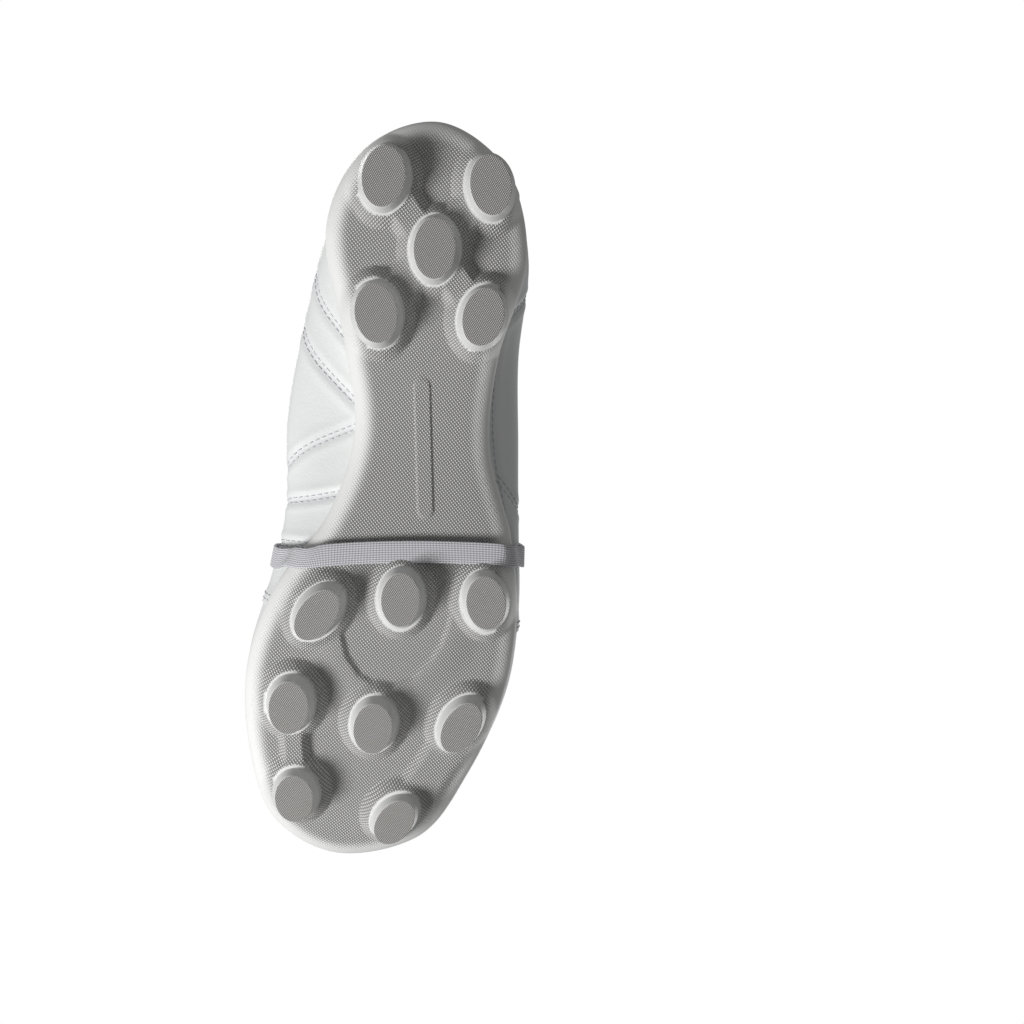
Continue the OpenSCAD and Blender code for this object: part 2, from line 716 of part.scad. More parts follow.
outsole();
heel_studs();
forefoot_studs();
shank();
bottom_filler();
insole_board();
sockliner();
vamp();
medial_quarter();
lateral_quarter();
heel_overlay();
medial_eyestay();
lateral_eyestay();
medial_eyelets();
lateral_eyelets();
toe_puff();
heel_counter();
vamp_lining();
medial_lining();
lateral_lining();
collar_padding();
collar_binding();
tongue();
tongue_padding();
tongue_lining();
tongue_flap();
flap_lining();
lace();
elastic_band();
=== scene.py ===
"""Looks of a soccer cleat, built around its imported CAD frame.

X runs from heel to toe, Y to the medial side, Z up. Shapes are worked out in millimetres and
handed to Blender in metres by make().
"""

import math

import bmesh
import bpy
import numpy as np
from mathutils import Matrix, Vector


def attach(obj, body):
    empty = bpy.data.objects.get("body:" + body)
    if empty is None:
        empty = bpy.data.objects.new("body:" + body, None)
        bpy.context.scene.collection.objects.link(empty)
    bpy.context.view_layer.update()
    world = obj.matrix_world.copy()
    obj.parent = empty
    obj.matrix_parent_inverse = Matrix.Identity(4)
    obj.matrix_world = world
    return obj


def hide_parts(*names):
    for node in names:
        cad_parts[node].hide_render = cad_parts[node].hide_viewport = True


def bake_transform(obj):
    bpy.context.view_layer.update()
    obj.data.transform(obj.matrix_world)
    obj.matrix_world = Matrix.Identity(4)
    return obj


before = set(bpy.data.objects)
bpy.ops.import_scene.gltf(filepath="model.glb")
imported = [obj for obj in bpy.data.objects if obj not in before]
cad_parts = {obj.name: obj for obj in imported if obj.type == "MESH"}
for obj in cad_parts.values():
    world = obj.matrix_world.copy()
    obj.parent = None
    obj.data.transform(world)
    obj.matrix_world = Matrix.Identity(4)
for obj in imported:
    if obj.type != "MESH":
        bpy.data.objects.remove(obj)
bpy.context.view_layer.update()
MM = 0.001
SHOE, FLAP, FOOTBED = "shoe", "flap", "footbed"


def add_object(name, data):
    obj = bpy.data.objects.new(name, data)
    bpy.context.scene.collection.objects.link(obj)
    return obj


# ---- Camera ----

CAMERA_PLACE = (-0.0682, -0.0030, -0.4345)
CAMERA_RIGHT = (-0.14023, -0.98728, -0.07487)
CAMERA_DOWN = (0.98006, -0.12766, -0.15225)
CAMERA_AHEAD = (0.14076, -0.09473, 0.98550)
FIELD_OF_VIEW = math.radians(50.68)


def add_camera():
    data = bpy.data.cameras.new("camera")
    data.angle = FIELD_OF_VIEW
    camera = add_object("camera", data)
    axes = np.column_stack([CAMERA_RIGHT, -np.array(CAMERA_DOWN), -np.array(CAMERA_AHEAD)])
    u, _, v = np.linalg.svd(axes)
    turn = Matrix((u @ v).tolist()).to_4x4()
    camera.matrix_world = Matrix.Translation(CAMERA_PLACE) @ turn
    bpy.context.scene.camera = camera


add_camera()

# ---- Rails of the shoe, as in the CAD: 20 stations from the back of the heel, by the medial side ----

STATIONS = 20
OUTLINE = np.array([
    [-156.5, 4], [-142, 32.5], [-109, 44.5], [-66, 32.5], [-28, 23.5],
    [8, 30.5], [42, 49], [77, 56.5], [114, 51.5], [147, 37.5],
    [161.5, 8], [148, -26.5], [114, -43.8], [78, -54], [42, -55],
    [8, -48], [-28, -34], [-66, -32], [-108, -38], [-142, -24.8]], float)
GIRTH = np.array([
    [-158.8, 4, 46], [-144, 33.5, 46], [-110, 46, 44], [-67, 51.5, 42], [-28, 53.5, 42],
    [9, 50, 40], [43, 52.5, 36], [77, 57, 34], [115.5, 52.5, 36], [150.5, 37.5, 38],
    [163, 8, 39.5], [150.5, -28, 38], [115.5, -45.8, 36], [78, -56, 34], [42, -56.5, 35],
    [8, -52.5, 38], [-28, -47.5, 41], [-67, -42, 42], [-110, -40.5, 44], [-144, -26, 46]], float)
SHOULDER = np.array([
    [-156, 4, 76], [-142, 28, 75], [-108, 38, 71], [-66, 43, 68], [-29, 43, 74],
    [8, 38, 71], [44, 37, 62], [78, 38, 56], [112, 33, 52], [137.5, 22, 51],
    [145, 7, 51.5], [137.5, -9, 51], [112, -27, 52], [78, -36, 56], [44, -40, 61],
    [8, -41, 69], [-29, -40, 73], [-66, -38, 67], [-108, -33, 68], [-142, -22, 74]], float)
TOP_LINE = np.array([
    [-149, 3, 101], [-137, 21, 98], [-106, 30, 88], [-66, 32, 84], [-33, 22, 101],
    [0, 16.5, 95], [32, 14, 84], [54, 12, 76], [65, 8.5, 72.5], [69, 5.5, 71],
    [70.5, 2.5, 70.5], [69, -0.5, 71], [65, -3.5, 72.5], [54, -7, 76], [32, -9, 84],
    [0, -11.5, 95], [-33, -17, 101], [-66, -28, 82], [-106, -26, 86], [-137, -16, 98]], float)
PLATE_LINE = [[-160, 13], [-100, 12.5], [-25, 17.5], [45, 11.5], [100, 12], [130, 14.5], [163, 22]]
RIM_LINE = [[-160, 27], [-100, 25], [-25, 26.5], [45, 21], [100, 22], [130, 26], [163, 34]]
SPINE_LINE = [[-118, 3.5], [-66, 0.5], [-28, -5], [8, -8.5], [42, -3.5], [76, 1], [122, 5]]

# Studs: tip centre x, y, half length, half width, turn in degrees, height of the tip, shift of the base
HEEL_STUDS = [
    [-129.5, 23, 11.7, 8.4, 3, 0, 0], [-132.5, -18.5, 11.6, 8.2, -14, 0, 0],
    [-105.5, 0, 11.9, 8.3, -4, 0, 0],
    [-77.5, 19.5, 11.8, 8.5, -14, 0, 0], [-82, -22.5, 11.6, 8.3, 6, 0, 0]]
FORE_STUDS = [
    [46.5, 28.5, 12, 7.5, 30, 0, 0], [36, -4.5, 11.4, 8.1, -5, 0, 2], [33, -39.5, 11.4, 8.3, -14, 0, 2],
    [87, 35.5, 11.3, 8.3, -3, 0, 0], [92, 0, 10.9, 8.2, -2, 0, 0], [87.5, -36.5, 11.8, 7.6, 23, 0, 0],
    [127, 29, 10.4, 8.1, -12, 2, 0], [133, -14, 10.7, 7.6, 28, 2, 0]]
STUDS = HEEL_STUDS + FORE_STUDS

PLATE_THICKNESS = 3.5
RIM_WIDTH = 2.2
STUD_CORE = 6.5
STUD_TAPER = 1.8
LEATHER = 1.4
LINING = 0.8
UPPER_INSET = RIM_WIDTH + 0.6
FEATHER_RISE = 0.8
INSTEP_LEVELS = [3.2, 3.6, 4]
GAP = 0.2
LINING_IN = 2.7
COLLAR_IN = LEATHER + 4 + 0.7
TRIM_GAP = 0.35
TRIM_OUT = TRIM_GAP + LEATHER - GAP
VAMP_SEAM = 6.25
THROAT_TOP = 4
COLLAR_END = 3.75

# ---- Curves ----


def spline4(a, b, c, d, t):
    return 0.5 * (2 * b + (c - a) * t + (2 * a - 5 * b + 4 * c - d) * t**2 + (3 * b - a - 3 * c + d) * t**3)


def around(rail, u):
    """Points at stations u of a closed rail."""
    u = np.asarray(u, float)
    i = np.floor(u).astype(int)
    n = len(rail)
    return spline4(rail[(i - 1) % n], rail[i % n], rail[(i + 1) % n], rail[(i + 2) % n], (u - i)[..., None])


def along(rows, t):
    """Points at t of an open run of rows, whose ends run on straight."""
    rows = np.stack(np.broadcast_arrays(*[np.asarray(r, float) for r in rows]))
    t = np.asarray(t, float)
    shape = np.broadcast_shapes(rows.shape[1:-1], t.shape)
    rows = np.broadcast_to(rows.reshape(len(rows), *([1] * (len(shape) + 2 - rows.ndim)), *rows.shape[1:]),
                           (len(rows), *shape, 3))
    t = np.broadcast_to(t, shape)
    i = np.clip(np.floor(t).astype(int), 0, len(rows) - 2)
    ext = np.concatenate([2 * rows[:1] - rows[1:2], rows, 2 * rows[-1:] - rows[-2:-1]])
    a, b, c, d = (np.take_along_axis(ext, (i + k)[None, ..., None], 0)[0] for k in range(4))
    return spline4(a, b, c, d, (t - i)[..., None])


def height(line, x):
    """Smooth height at x through a list of x, height points."""
    line = np.array(line, float)
    n = len(line)
    x = np.clip(x, line[0, 0], line[-1, 0])
    i = np.clip(np.searchsorted(line[:, 0], x, side="right") - 1, 0, n - 2)
    low, high = np.maximum(np.arange(n) - 1, 0), np.minimum(np.arange(n) + 1, n - 1)
    slope = (line[high, 1] - line[low, 1]) / (line[high, 0] - line[low, 0])
    h = line[i + 1, 0] - line[i, 0]
    t = (x - line[i, 0]) / h
    return ((1 + 2 * t) * (1 - t) ** 2 * line[i, 1] + t * t * (3 - 2 * t) * line[i + 1, 1]
            + t * (1 - t) ** 2 * h * slope[i] - t * t * (1 - t) * h * slope[i + 1])


def unit(v):
    return v / np.maximum(np.linalg.norm(v, axis=-1, keepdims=True), 1e-9)


def run_lengths(line):
    """Length along a line up to each of its points."""
    return np.concatenate([[0], np.cumsum(np.linalg.norm(np.diff(line, axis=0), axis=1))])


def circle(sides):
    """Angles of evenly spaced points round a circle."""
    return np.linspace(0, 2 * math.pi, sides, endpoint=False)


def mix(a, b, t):
    return a + (b - a) * t


def smooth(t):
    t = np.clip(t, 0, 1)
    return t * t * (3 - 2 * t)


def plate_z(x):
    return height(PLATE_LINE, x)


def rim_z(x):
    return height(RIM_LINE, x)


def spine_by(edge):
    """Points on the sole's middle line, straight across from those of an edge."""
    x = np.clip(edge[:, 0], SPINE_LINE[0][0], SPINE_LINE[-1][0])
    return np.stack([x, height(SPINE_LINE, x)], -1)


def outward(u):
    d = around(OUTLINE, u + 0.05) - around(OUTLINE, u - 0.05)
    return unit(np.stack([-d[..., 1], d[..., 0]], -1))


def inside(u, inset):
    return around(OUTLINE, u) - np.asarray(inset)[..., None] * outward(u)


def at_height(xy, z):
    return np.concatenate([xy, np.asarray(z)[..., None]], -1)


def upper(u, v):
    """The upper's surface: level 0 inside the rim, 1 at the rim, 2 girth, 3 shoulder, 4 top line."""
    u, v = np.broadcast_arrays(np.asarray(u, float), np.asarray(v, float))
    foot = inside(u, UPPER_INSET)
    base = at_height(foot, plate_z(foot[..., 0]) + PLATE_THICKNESS + GAP)
    feather = at_height(foot, rim_z(foot[..., 0]) + FEATHER_RISE)
    above = along([feather, around(GIRTH, u), around(SHOULDER, u), around(TOP_LINE, u)], v - 1)
    return np.where((v < 1)[..., None], mix(base, feather, v[..., None]), above)


def upper_normal(u, v):
    step = 0.04
    u, v = np.broadcast_arrays(np.asarray(u, float), np.asarray(v, float))
    rise = upper(u, np.minimum(v + step, 4)) - upper(u, np.maximum(v - step, 0))
    return unit(np.cross(rise, upper(u + step, v) - upper(u - step, v)))


def skin(u, v, out):
    """Points that stand a distance out from the upper's surface."""
    return upper(u, v) + np.asarray(out, float)[..., None] * upper_normal(u, v)


def instep(u, q, out):
    """Curve over the instep, from the medial shoulder (0) to the lateral shoulder (5)."""
    medial = [skin(u, level, out) for level in INSTEP_LEVELS]
    lateral = [skin(STATIONS - u, level, out) for level in INSTEP_LEVELS[::-1]]
    return along(medial + lateral, q)


# ---- Meshes ----


def make(name, points, faces, materials, sharp=50):
    """Mesh object from points in millimetres.

    materials is one, or a list with faces as (material, faces) pairs.
    """
    mesh = bpy.data.meshes.new(name)
    several = isinstance(materials, list)
    groups = faces if several else [(0, faces)]
    quads = [f for _, group in groups for f in group]
    mesh.from_pydata((np.asarray(points).reshape(-1, 3) * MM).tolist(), [], quads)
    for material in materials if several else [materials]:
        mesh.materials.append(material)
    if several:
        index = np.concatenate([np.full(len(group), m) for m, group in groups]).astype(np.int32)
        mesh.polygons.foreach_set("material_index", index)
    mesh.polygons.foreach_set("use_smooth", [True] * len(quads))
    work = bmesh.new()
    work.from_mesh(mesh)
    bmesh.ops.recalc_face_normals(work, faces=work.faces)
    work.to_mesh(mesh)
    work.free()
    mesh.set_sharp_from_angle(angle=math.radians(sharp))
    mesh.update()
    return add_object(name, mesh)


def write_values(obj, name, values):
    """One number for each point, for the materials to read."""
    attribute = obj.data.attributes.new(name, "FLOAT", "POINT")
    attribute.data.foreach_set("value", values.astype(np.float32))


def grid_faces(nu, nv, first=0, close_u=False, flip=False):
    """Quads of a grid of nu by nv points."""
    i, j = np.meshgrid(np.arange(nu if close_u else nu - 1), np.arange(nv - 1), indexing="ij")
    k = (i + 1) % nu
    quads = np.stack([i * nv + j, k * nv + j, k * nv + j + 1, i * nv + j + 1], -1).reshape(-1, 4) + first
    return (quads[:, ::-1] if flip else quads).tolist()


def ring_faces(rows, columns):
    """Quads through several closed rings of points."""
    closing = [(r * columns + columns - 1, (r + 1) * columns + columns - 1, (r + 1) * columns, r * columns)
               for r in range(rows - 1)]
    return grid_faces(rows, columns) + closing


def turned_faces(rows, sides, first, close=False):
    """Quads between rings whose points follow each other; close joins the last ring to the first one."""
    return [(first + r * sides + i, first + r * sides + (i + 1) % sides,
             first + (r + 1) % rows * sides + (i + 1) % sides, first + (r + 1) % rows * sides + i)
            for r in range(rows if close else rows - 1) for i in range(sides)]


def cap_faces(rows, columns):
    """Strips of quads, straight across, that close the first and the last of several rings."""
    faces = []
    for first, turned in ((0, False), ((rows - 1) * columns, True)):
        for i in range(columns // 2):
            quad = [first + i, first + (columns - i) % columns, first + columns - i - 1, first + i + 1]
            quad = list(dict.fromkeys(quad))
            faces.append(quad[::-1] if turned else quad)
    return faces


def border(nu, nv):
    """Point numbers round the edge of a grid, and those of their neighbours inside."""
    ids = np.arange(nu * nv).reshape(nu, nv)
    edge = np.concatenate([ids[:-1, 0], ids[-1, :-1], ids[:0:-1, -1], ids[0, :0:-1]])
    near = np.concatenate([ids[:-1, 1], ids[-2, :-1], ids[:0:-1, -2], ids[1, :0:-1]])
    return edge, near


# How far a sheet's edge bulges, as a share of its thickness
EDGE_ROLL = 0.35


def sheet(name, outer, inner, material):
    """Closed sheet between two grids of points, with rolled edges."""
    nu, nv = outer.shape[:2]
    count = nu * nv
    edge, near = border(nu, nv)
    o, i = outer.reshape(-1, 3), inner.reshape(-1, 3)
    thick = np.linalg.norm(o[edge] - i[edge], axis=1, keepdims=True)
    middle = (o[edge] + i[edge]) / 2 + unit(o[edge] - o[near]) * thick * EDGE_ROLL
    points = np.concatenate([o, i, middle])
    n = len(edge)
    faces = grid_faces(nu, nv) + grid_faces(nu, nv, count, flip=True)
    for k in range(n):
        m = (k + 1) % n
        a, b, c, d = int(edge[k]), int(edge[m]), 2 * count + m, 2 * count + k
        faces.append((b, a, d, c))
        faces.append((c, d, count + a, count + b))
    return make(name, points, faces, material)


def patch(u0, u1, v0, v1, nu, nv):
    """Grids of stations and levels."""
    return np.meshgrid(np.linspace(u0, u1, nu), np.linspace(v0, v1, nv), indexing="ij")


# ---- Materials ----


class Nodes:
    """Short calls to build one material's nodes."""

    def __init__(self, name, roughness=0.5, **sockets):
        self.material = bpy.data.materials.new(name)
        self.material.use_nodes = True
        self.tree = self.material.node_tree
        self.tree.nodes.clear()
        self.shader = self.new("BsdfPrincipled")
        output = self.new("OutputMaterial")
        self.tree.links.new(self.shader.outputs[0], output.inputs[0])
        self.shader.inputs["Roughness"].default_value = roughness
        for socket, value in sockets.items():
            self.shader.inputs[socket.replace("_", " ")].default_value = value
        self.place = self.new("TexCoord").outputs["Object"]

    def new(self, kind):
        return self.tree.nodes.new("ShaderNode" + kind)

    def put(self, socket, value):
        if isinstance(value, bpy.types.NodeSocket):
            self.tree.links.new(value, socket)
        else:
            socket.default_value = (*value, 1) if isinstance(value, tuple) else value

    def math(self, operation, a, b=0.0, c=0.0):
        node = self.new("Math")
        node.operation = operation
        for socket, value in zip(node.inputs, (a, b, c)):
            self.put(socket, value)
        return node.outputs[0]

    def wave(self, value, pitch):
        """Sine whose zeros lie a pitch apart."""
        return self.math("SINE", self.math("MULTIPLY", value, math.pi / pitch))

    def noise(self, scale, detail=2.0, stretch=None):
        node = self.new("TexNoise")
        node.inputs["Scale"].default_value = scale
        node.inputs["Detail"].default_value = detail
        place = self.place
        if stretch:
            mapping = self.new("Mapping")
            mapping.inputs["Scale"].default_value = stretch
            self.put(mapping.inputs[0], place)
            place = mapping.outputs[0]
        self.put(node.inputs["Vector"], place)
        return node.outputs["Fac"]

    def cells(self, scale):
        node = self.new("TexVoronoi")
        node.inputs["Scale"].default_value = scale
        self.put(node.inputs["Vector"], self.place)
        return node.outputs["Distance"]

    def axis(self, name):
        node = self.new("SeparateXYZ")
        self.put(node.inputs[0], self.place)
        return node.outputs[name]

    def attribute(self, name):
        node = self.new("Attribute")
        node.attribute_name = name
        return node.outputs["Fac"]

    def ramp(self, value, low, high):
        """Value from low to high, as 0 to 1, softly."""
        node = self.new("MapRange")
        node.interpolation_type = "SMOOTHSTEP"
        self.put(node.inputs["Value"], value)
        node.inputs["From Min"].default_value = low
        node.inputs["From Max"].default_value = high
        return node.outputs[0]

    def colour(self, factor, a, b):
        node = self.new("Mix")
        node.data_type = "RGBA"
        for place, value in ((0, factor), (6, a), (7, b)):
            self.put(node.inputs[place], value)
        return node.outputs[2]

    def base(self, colour):
        self.put(self.shader.inputs["Base Color"], colour)

    def rough(self, value, low, high):
        node = self.new("MapRange")
        self.put(node.inputs["Value"], value)
        node.inputs["To Min"].default_value = low
        node.inputs["To Max"].default_value = high
        self.put(self.shader.inputs["Roughness"], node.outputs[0])

    def bump(self, height_value, depth, before=None):
        node = self.new("Bump")
        node.inputs["Distance"].default_value = depth * MM
        self.put(node.inputs["Height"], height_value)
        if before is not None:
            self.put(node.inputs["Normal"], before)
        return node.outputs[0]

    def normal(self, bumped):
        self.put(self.shader.inputs["Normal"], bumped)
        return self.material

    def plain(self, texture, colours, depth, rough=None):
        """Material with one texture, which colours it and stands out by a depth in millimetres."""
        self.base(self.colour(texture, *colours))
        if rough:
            self.rough(texture, *rough)
        return self.normal(self.bump(texture, depth))


def diamonds(nodes, cell, stretch=1.0):
    """Height of small pyramids, whose sides of cell millimetres run at 45 degrees to the shoe."""
    x, y = nodes.axis("X"), nodes.math("MULTIPLY", nodes.axis("Y"), stretch)
    turn = math.sqrt(0.5) / (cell * MM)
    a, b = (nodes.math("PINGPONG", nodes.math("MULTIPLY", nodes.math(sign, x, y), turn), 0.5)
            for sign in ("ADD", "SUBTRACT"))
    return nodes.math("MULTIPLY", nodes.math("MINIMUM", a, b), 2.0)


def sole_material():
    n = Nodes("sole_rubber", 0.55, Specular_IOR_Level=0.35)
    mask = n.attribute("knurl")
    knurl = diamonds(n, 1.08)
    height_value = n.math("MULTIPLY", knurl, mask)
    shade = n.noise(60, 3)
    # Painted shade: the colour darkens in the knurl's grooves, where shade falls, on top of their bump.
    groove_shade = n.math("MULTIPLY", n.math("SUBTRACT", 1.0, knurl), mask)
    plain = n.colour(shade, (0.76, 0.76, 0.745), (0.81, 0.81, 0.795))
    n.base(n.colour(n.ramp(groove_shade, 0.35, 1.0), plain, (0.26, 0.254, 0.248)))
    n.rough(shade, 0.48, 0.62)
    fine = n.bump(n.noise(2500, 2), 0.02)
    return n.normal(n.bump(height_value, 0.6, before=fine))


def stud_side_material():
    n = Nodes("stud_side", 0.45, Specular_IOR_Level=0.4)
    shade = n.noise(90, 3)
    n.base(n.colour(shade, (0.68, 0.685, 0.67), (0.73, 0.735, 0.72)))
    n.rough(shade, 0.4, 0.52)
    return n.normal(n.bump(n.noise(1800, 2), 0.015))


def stud_face_material():
    n = Nodes("stud_face", 0.65, Specular_IOR_Level=0.3)
    shade = n.noise(120, 3)
    height_value = diamonds(n, 0.86, 1.4)
    plain = n.colour(shade, (0.70, 0.68, 0.66), (0.76, 0.74, 0.72))
    # Painted shade: the colour darkens in the low parts between the fine diamonds, where shade falls, on top
    # of their bump.
    n.base(n.colour(n.ramp(height_value, 0.05, 0.75), (0.20, 0.192, 0.185), plain))
    n.rough(shade, 0.55, 0.7)
    return n.normal(n.bump(height_value, 0.3))


def leather_material(name, colour, darker, grain=0.05):
    """Full grain leather: fine pores, soft creases and a little colour variation."""
    n = Nodes(name, 0.5, Specular_IOR_Level=0.4)
    pores = n.cells(900)
    creases = n.noise(130, 4, stretch=(1.0, 0.6, 1.0))
    shade = n.noise(14, 3)
    n.base(n.colour(shade, colour, darker))
    n.rough(creases, 0.42, 0.62)
    soft = n.bump(creases, 0.12)
    return n.normal(n.bump(pores, grain, before=soft))


def woven_material(name, colour, dark, pitch, across_axis, depth):
    """Plain weave: threads of a given pitch in millimetres, over and under along X and another axis."""
    n = Nodes(name, 0.8, Sheen_Weight=0.25, Sheen_Roughness=0.5)
    a, b = (n.wave(n.axis(axis), pitch * MM) for axis in ("X", across_axis))
    weave = n.math("ADD", n.math("MULTIPLY", n.math("MULTIPLY", a, b), 0.5), 0.5)
    tone = n.math("ADD", n.math("MULTIPLY", weave, 0.8), n.math("MULTIPLY", n.noise(300, 2), 0.2))
    n.base(n.colour(tone, dark, colour))
    return n.normal(n.bump(weave, depth))


def band_material():
    """Woven elastic: fine ribs along the band, crossed by short threads."""
    n = Nodes("elastic_weave", 0.75, Sheen_Weight=0.3, Sheen_Roughness=0.4)
    ribs = n.math("ABSOLUTE", n.wave(n.attribute("across"), 0.95))
    threads = n.math("ABSOLUTE", n.wave(n.attribute("along"), 0.62))
    weave = n.math("ADD", n.math("MULTIPLY", ribs, 0.5), n.math("MULTIPLY", threads, 0.5))
    n.base(n.colour(weave, (0.17, 0.17, 0.19), (0.84, 0.84, 0.88)))
    return n.normal(n.bump(weave, 0.34))


def foam_material(name, *colours):
    n = Nodes(name, 0.9)
    return n.plain(n.cells(1400), colours, 0.2)


def board_material(name, roughness, *colours):
    n = Nodes(name, roughness)
    return n.plain(n.noise(700, 4, stretch=(0.25, 1, 1)), colours, 0.08)


def steel_material():
    n = Nodes("shank_steel", 0.35, Metallic=1.0)
    brushed = n.noise(900, 3, stretch=(0.05, 1, 1))
    return n.plain(brushed, [(0.30, 0.31, 0.33), (0.42, 0.43, 0.45)], 0.02, rough=(0.28, 0.45))


def eyelet_material():
    n = Nodes("eyelet_lacquer", 0.35, Specular_IOR_Level=0.5)
    return n.plain(n.noise(400, 3), [(0.70, 0.70, 0.70), (0.78, 0.78, 0.78)], 0.02, rough=(0.25, 0.42))


def thread_material():
    n = Nodes("thread", 0.7, Sheen_Weight=0.2)
    slant = n.math("ADD", n.axis("X"), n.axis("Z"))
    twist = n.math("ABSOLUTE", n.wave(slant, 0.3 * MM))
    return n.plain(twist, [(0.56, 0.57, 0.62), (0.78, 0.79, 0.84)], 0.08)


SOLE = sole_material()
STUD_SIDE = stud_side_material()
STUD_FACE = stud_face_material()
WHITE_LEATHER = leather_material("white_leather", (0.77, 0.785, 0.775), (0.72, 0.74, 0.73))
TRIM_LEATHER = leather_material("trim_leather", (0.75, 0.765, 0.755), (0.70, 0.715, 0.71), 0.07)
TONGUE_LEATHER = leather_material("tongue_leather", (0.76, 0.775, 0.765), (0.71, 0.73, 0.72))
LINING_CLOTH = woven_material("lining_cloth", (0.66, 0.66, 0.65), (0.46, 0.46, 0.46), 0.55, "Z", 0.12)
LACE_CLOTH = woven_material("lace_weave", (0.82, 0.82, 0.83), (0.55, 0.55, 0.57), 0.8, "Y", 0.3)
KNIT = woven_material("sockliner_knit", (0.60, 0.61, 0.62), (0.36, 0.37, 0.38), 0.9, "Y", 0.25)
ELASTIC = band_material()
FOAM = foam_material("pad_foam", (0.74, 0.73, 0.69), (0.62, 0.61, 0.57))
FILLER = foam_material("filler_foam", (0.62, 0.55, 0.40), (0.50, 0.43, 0.30))
BOARD = board_material("insole_board", 0.85, (0.58, 0.48, 0.34), (0.46, 0.37, 0.25))
STIFF_BOARD = board_material("stiffener", 0.7, (0.50, 0.43, 0.33), (0.40, 0.34, 0.26))
STEEL = steel_material()
LACQUER = eyelet_material()
THREAD = thread_material()


def finish_piece(obj, body, slot_name, *nodes):
    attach(obj, body)
    if nodes:
        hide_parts(*nodes)
    return obj


# ---- Outsole ----

CENTRE_SHARE = 0.015
EDGE_IN = 10.5
EDGE_UP = 6.0
CROWN_WIDTH = 26.0
CROWN_RISE = 0.8
FLARE_WIDTH = 5.0
# Ridges that join studs: their two ends, half width of the flat top, width of the slope, height
HEEL_WEBS = [[HEEL_STUDS[2][:2], HEEL_STUDS[i][:2], 4.6, 5.0, 5.4] for i in (0, 1, 3, 4)]
FORE_WEBS = [[(87, 35.5), (127, 29), 3.0, 4.0, 4.2], [(88, -39.5), (133.5, -17.5), 6.0, 4.5, 3.4]]
# Edge of the recess round the forefoot's rear middle stud, from the medial side to the lateral side
RECESS = np.array([
    (20, 18.5), (45.3, 17.3), (56.5, 17.2), (64.7, 14.2), (71.9, 8.3), (75.4, 1.2), (75.5, -5.6),
    (71, -13.4), (62.4, -19.9), (55, -23.2), (47, -25), (20, -27)])
RECESS_DEPTH = 1.8
RECESS_STEP = 2.4
RECESS_FLAT = 3.2
RECESS_SLOPE = 14
WEB_SPREAD = 3.5
RIB = np.array([[-51, -2], [0, -10]], float)
RIB_HEIGHT = 0.8
RIB_HALF_WIDTH = 2.8
BEAD = 0.8
KNURL_END = 1.0
KNURL_FADE = 9.0


def soft_max(values, sharpness=1.6):
    """Largest of several heights, with a fillet where they meet."""
    values = np.stack(values)
    return np.log(np.sum(np.exp(sharpness * values), 0) - len(values) + 1) / sharpness


def stud_distance(stud, x, y):
    """Distance outside a stud's tip, in millimetres."""
    x0, y0, long, wide, turn, _, shift = stud
    c, s = math.cos(math.radians(turn)), math.sin(math.radians(turn))
    a = (x - x0 - shift / 2) * c + (y - y0) * s
    b = -(x - x0 - shift / 2) * s + (y - y0) * c
    angle = np.arctan2(b, a)
    return np.hypot(a, b) - 1 / np.sqrt((np.cos(angle) / long) ** 2 + (np.sin(angle) / wide) ** 2)


def segment_distance(a, b, x, y):
    """Distance from a line between two points, and the share along it."""
    a, b = np.array(a, float), np.array(b, float)
    d = b - a
    t = np.clip(((x - a[0]) * d[0] + (y - a[1]) * d[1]) / (d @ d), 0, 1)
    return np.hypot(x - a[0] - t * d[0], y - a[1] - t * d[1]), t


def flare_height(stud, x, y):
    full = plate_z(stud[0]) - stud[5] - STUD_CORE
    t = np.clip((stud_distance(stud, x, y) - STUD_TAPER - 0.3) / FLARE_WIDTH, 0, 1)
    return full * (1 - t**1.7) * (1 - 0.25 * t)


def web_height(a, b, half_width, slope, rise, x, y):
    d, t = segment_distance(a, b, x, y)
    neck = half_width + WEB_SPREAD * (2 * t - 1) ** 2
    return rise * (1 - smooth((d - neck) / slope))


def recess_ridge(x, y):
    """Low ridge round the recess: a crisp step on the inside, and a long slope on the outside."""
    distance = np.full(np.shape(x), 1e9)
    within = np.zeros(np.shape(x), bool)
    # A point lies within when a line from it along x crosses the edge an odd number of times
    for a, b in zip(RECESS, np.roll(RECESS, -1, 0)):
        within ^= ((a[1] > y) != (b[1] > y)) & (x < a[0] + (b[0] - a[0]) * (y - a[1]) / (b[1] - a[1]))
    for a, b in zip(RECESS[:-1], RECESS[1:]):
        distance = np.minimum(distance, segment_distance(a, b, x, y)[0])
    outside = np.where(within, -distance, distance)
    step = smooth((outside + 0.4) / RECESS_STEP)
    slope = 1 - smooth((outside - RECESS_FLAT) / RECESS_SLOPE)
    return RECESS_DEPTH * step * slope * smooth((x - 36) / 10)


def relief(x, y):
    """How far the sole's moulded relief stands below its plate."""
    parts = [flare_height(stud, x, y) for stud in STUDS]
    parts += [web_height(*web, x, y) for web in HEEL_WEBS + FORE_WEBS]
    parts.append(recess_ridge(x, y))
    d, _ = segment_distance(*RIB, x, y)
    return soft_max(parts) + RIB_HEIGHT * (1 - smooth(d - RIB_HALF_WIDTH))


def knurl_fade(left):
    """The knurl runs out towards the edge of the sole."""
    return smooth((left - KNURL_END) / KNURL_FADE)


def crown(left):
    """How far the sole curves up towards its edge, from the distance to the edge."""
    return CROWN_RISE * np.clip(1 - left / CROWN_WIDTH, 0, 1) ** 2


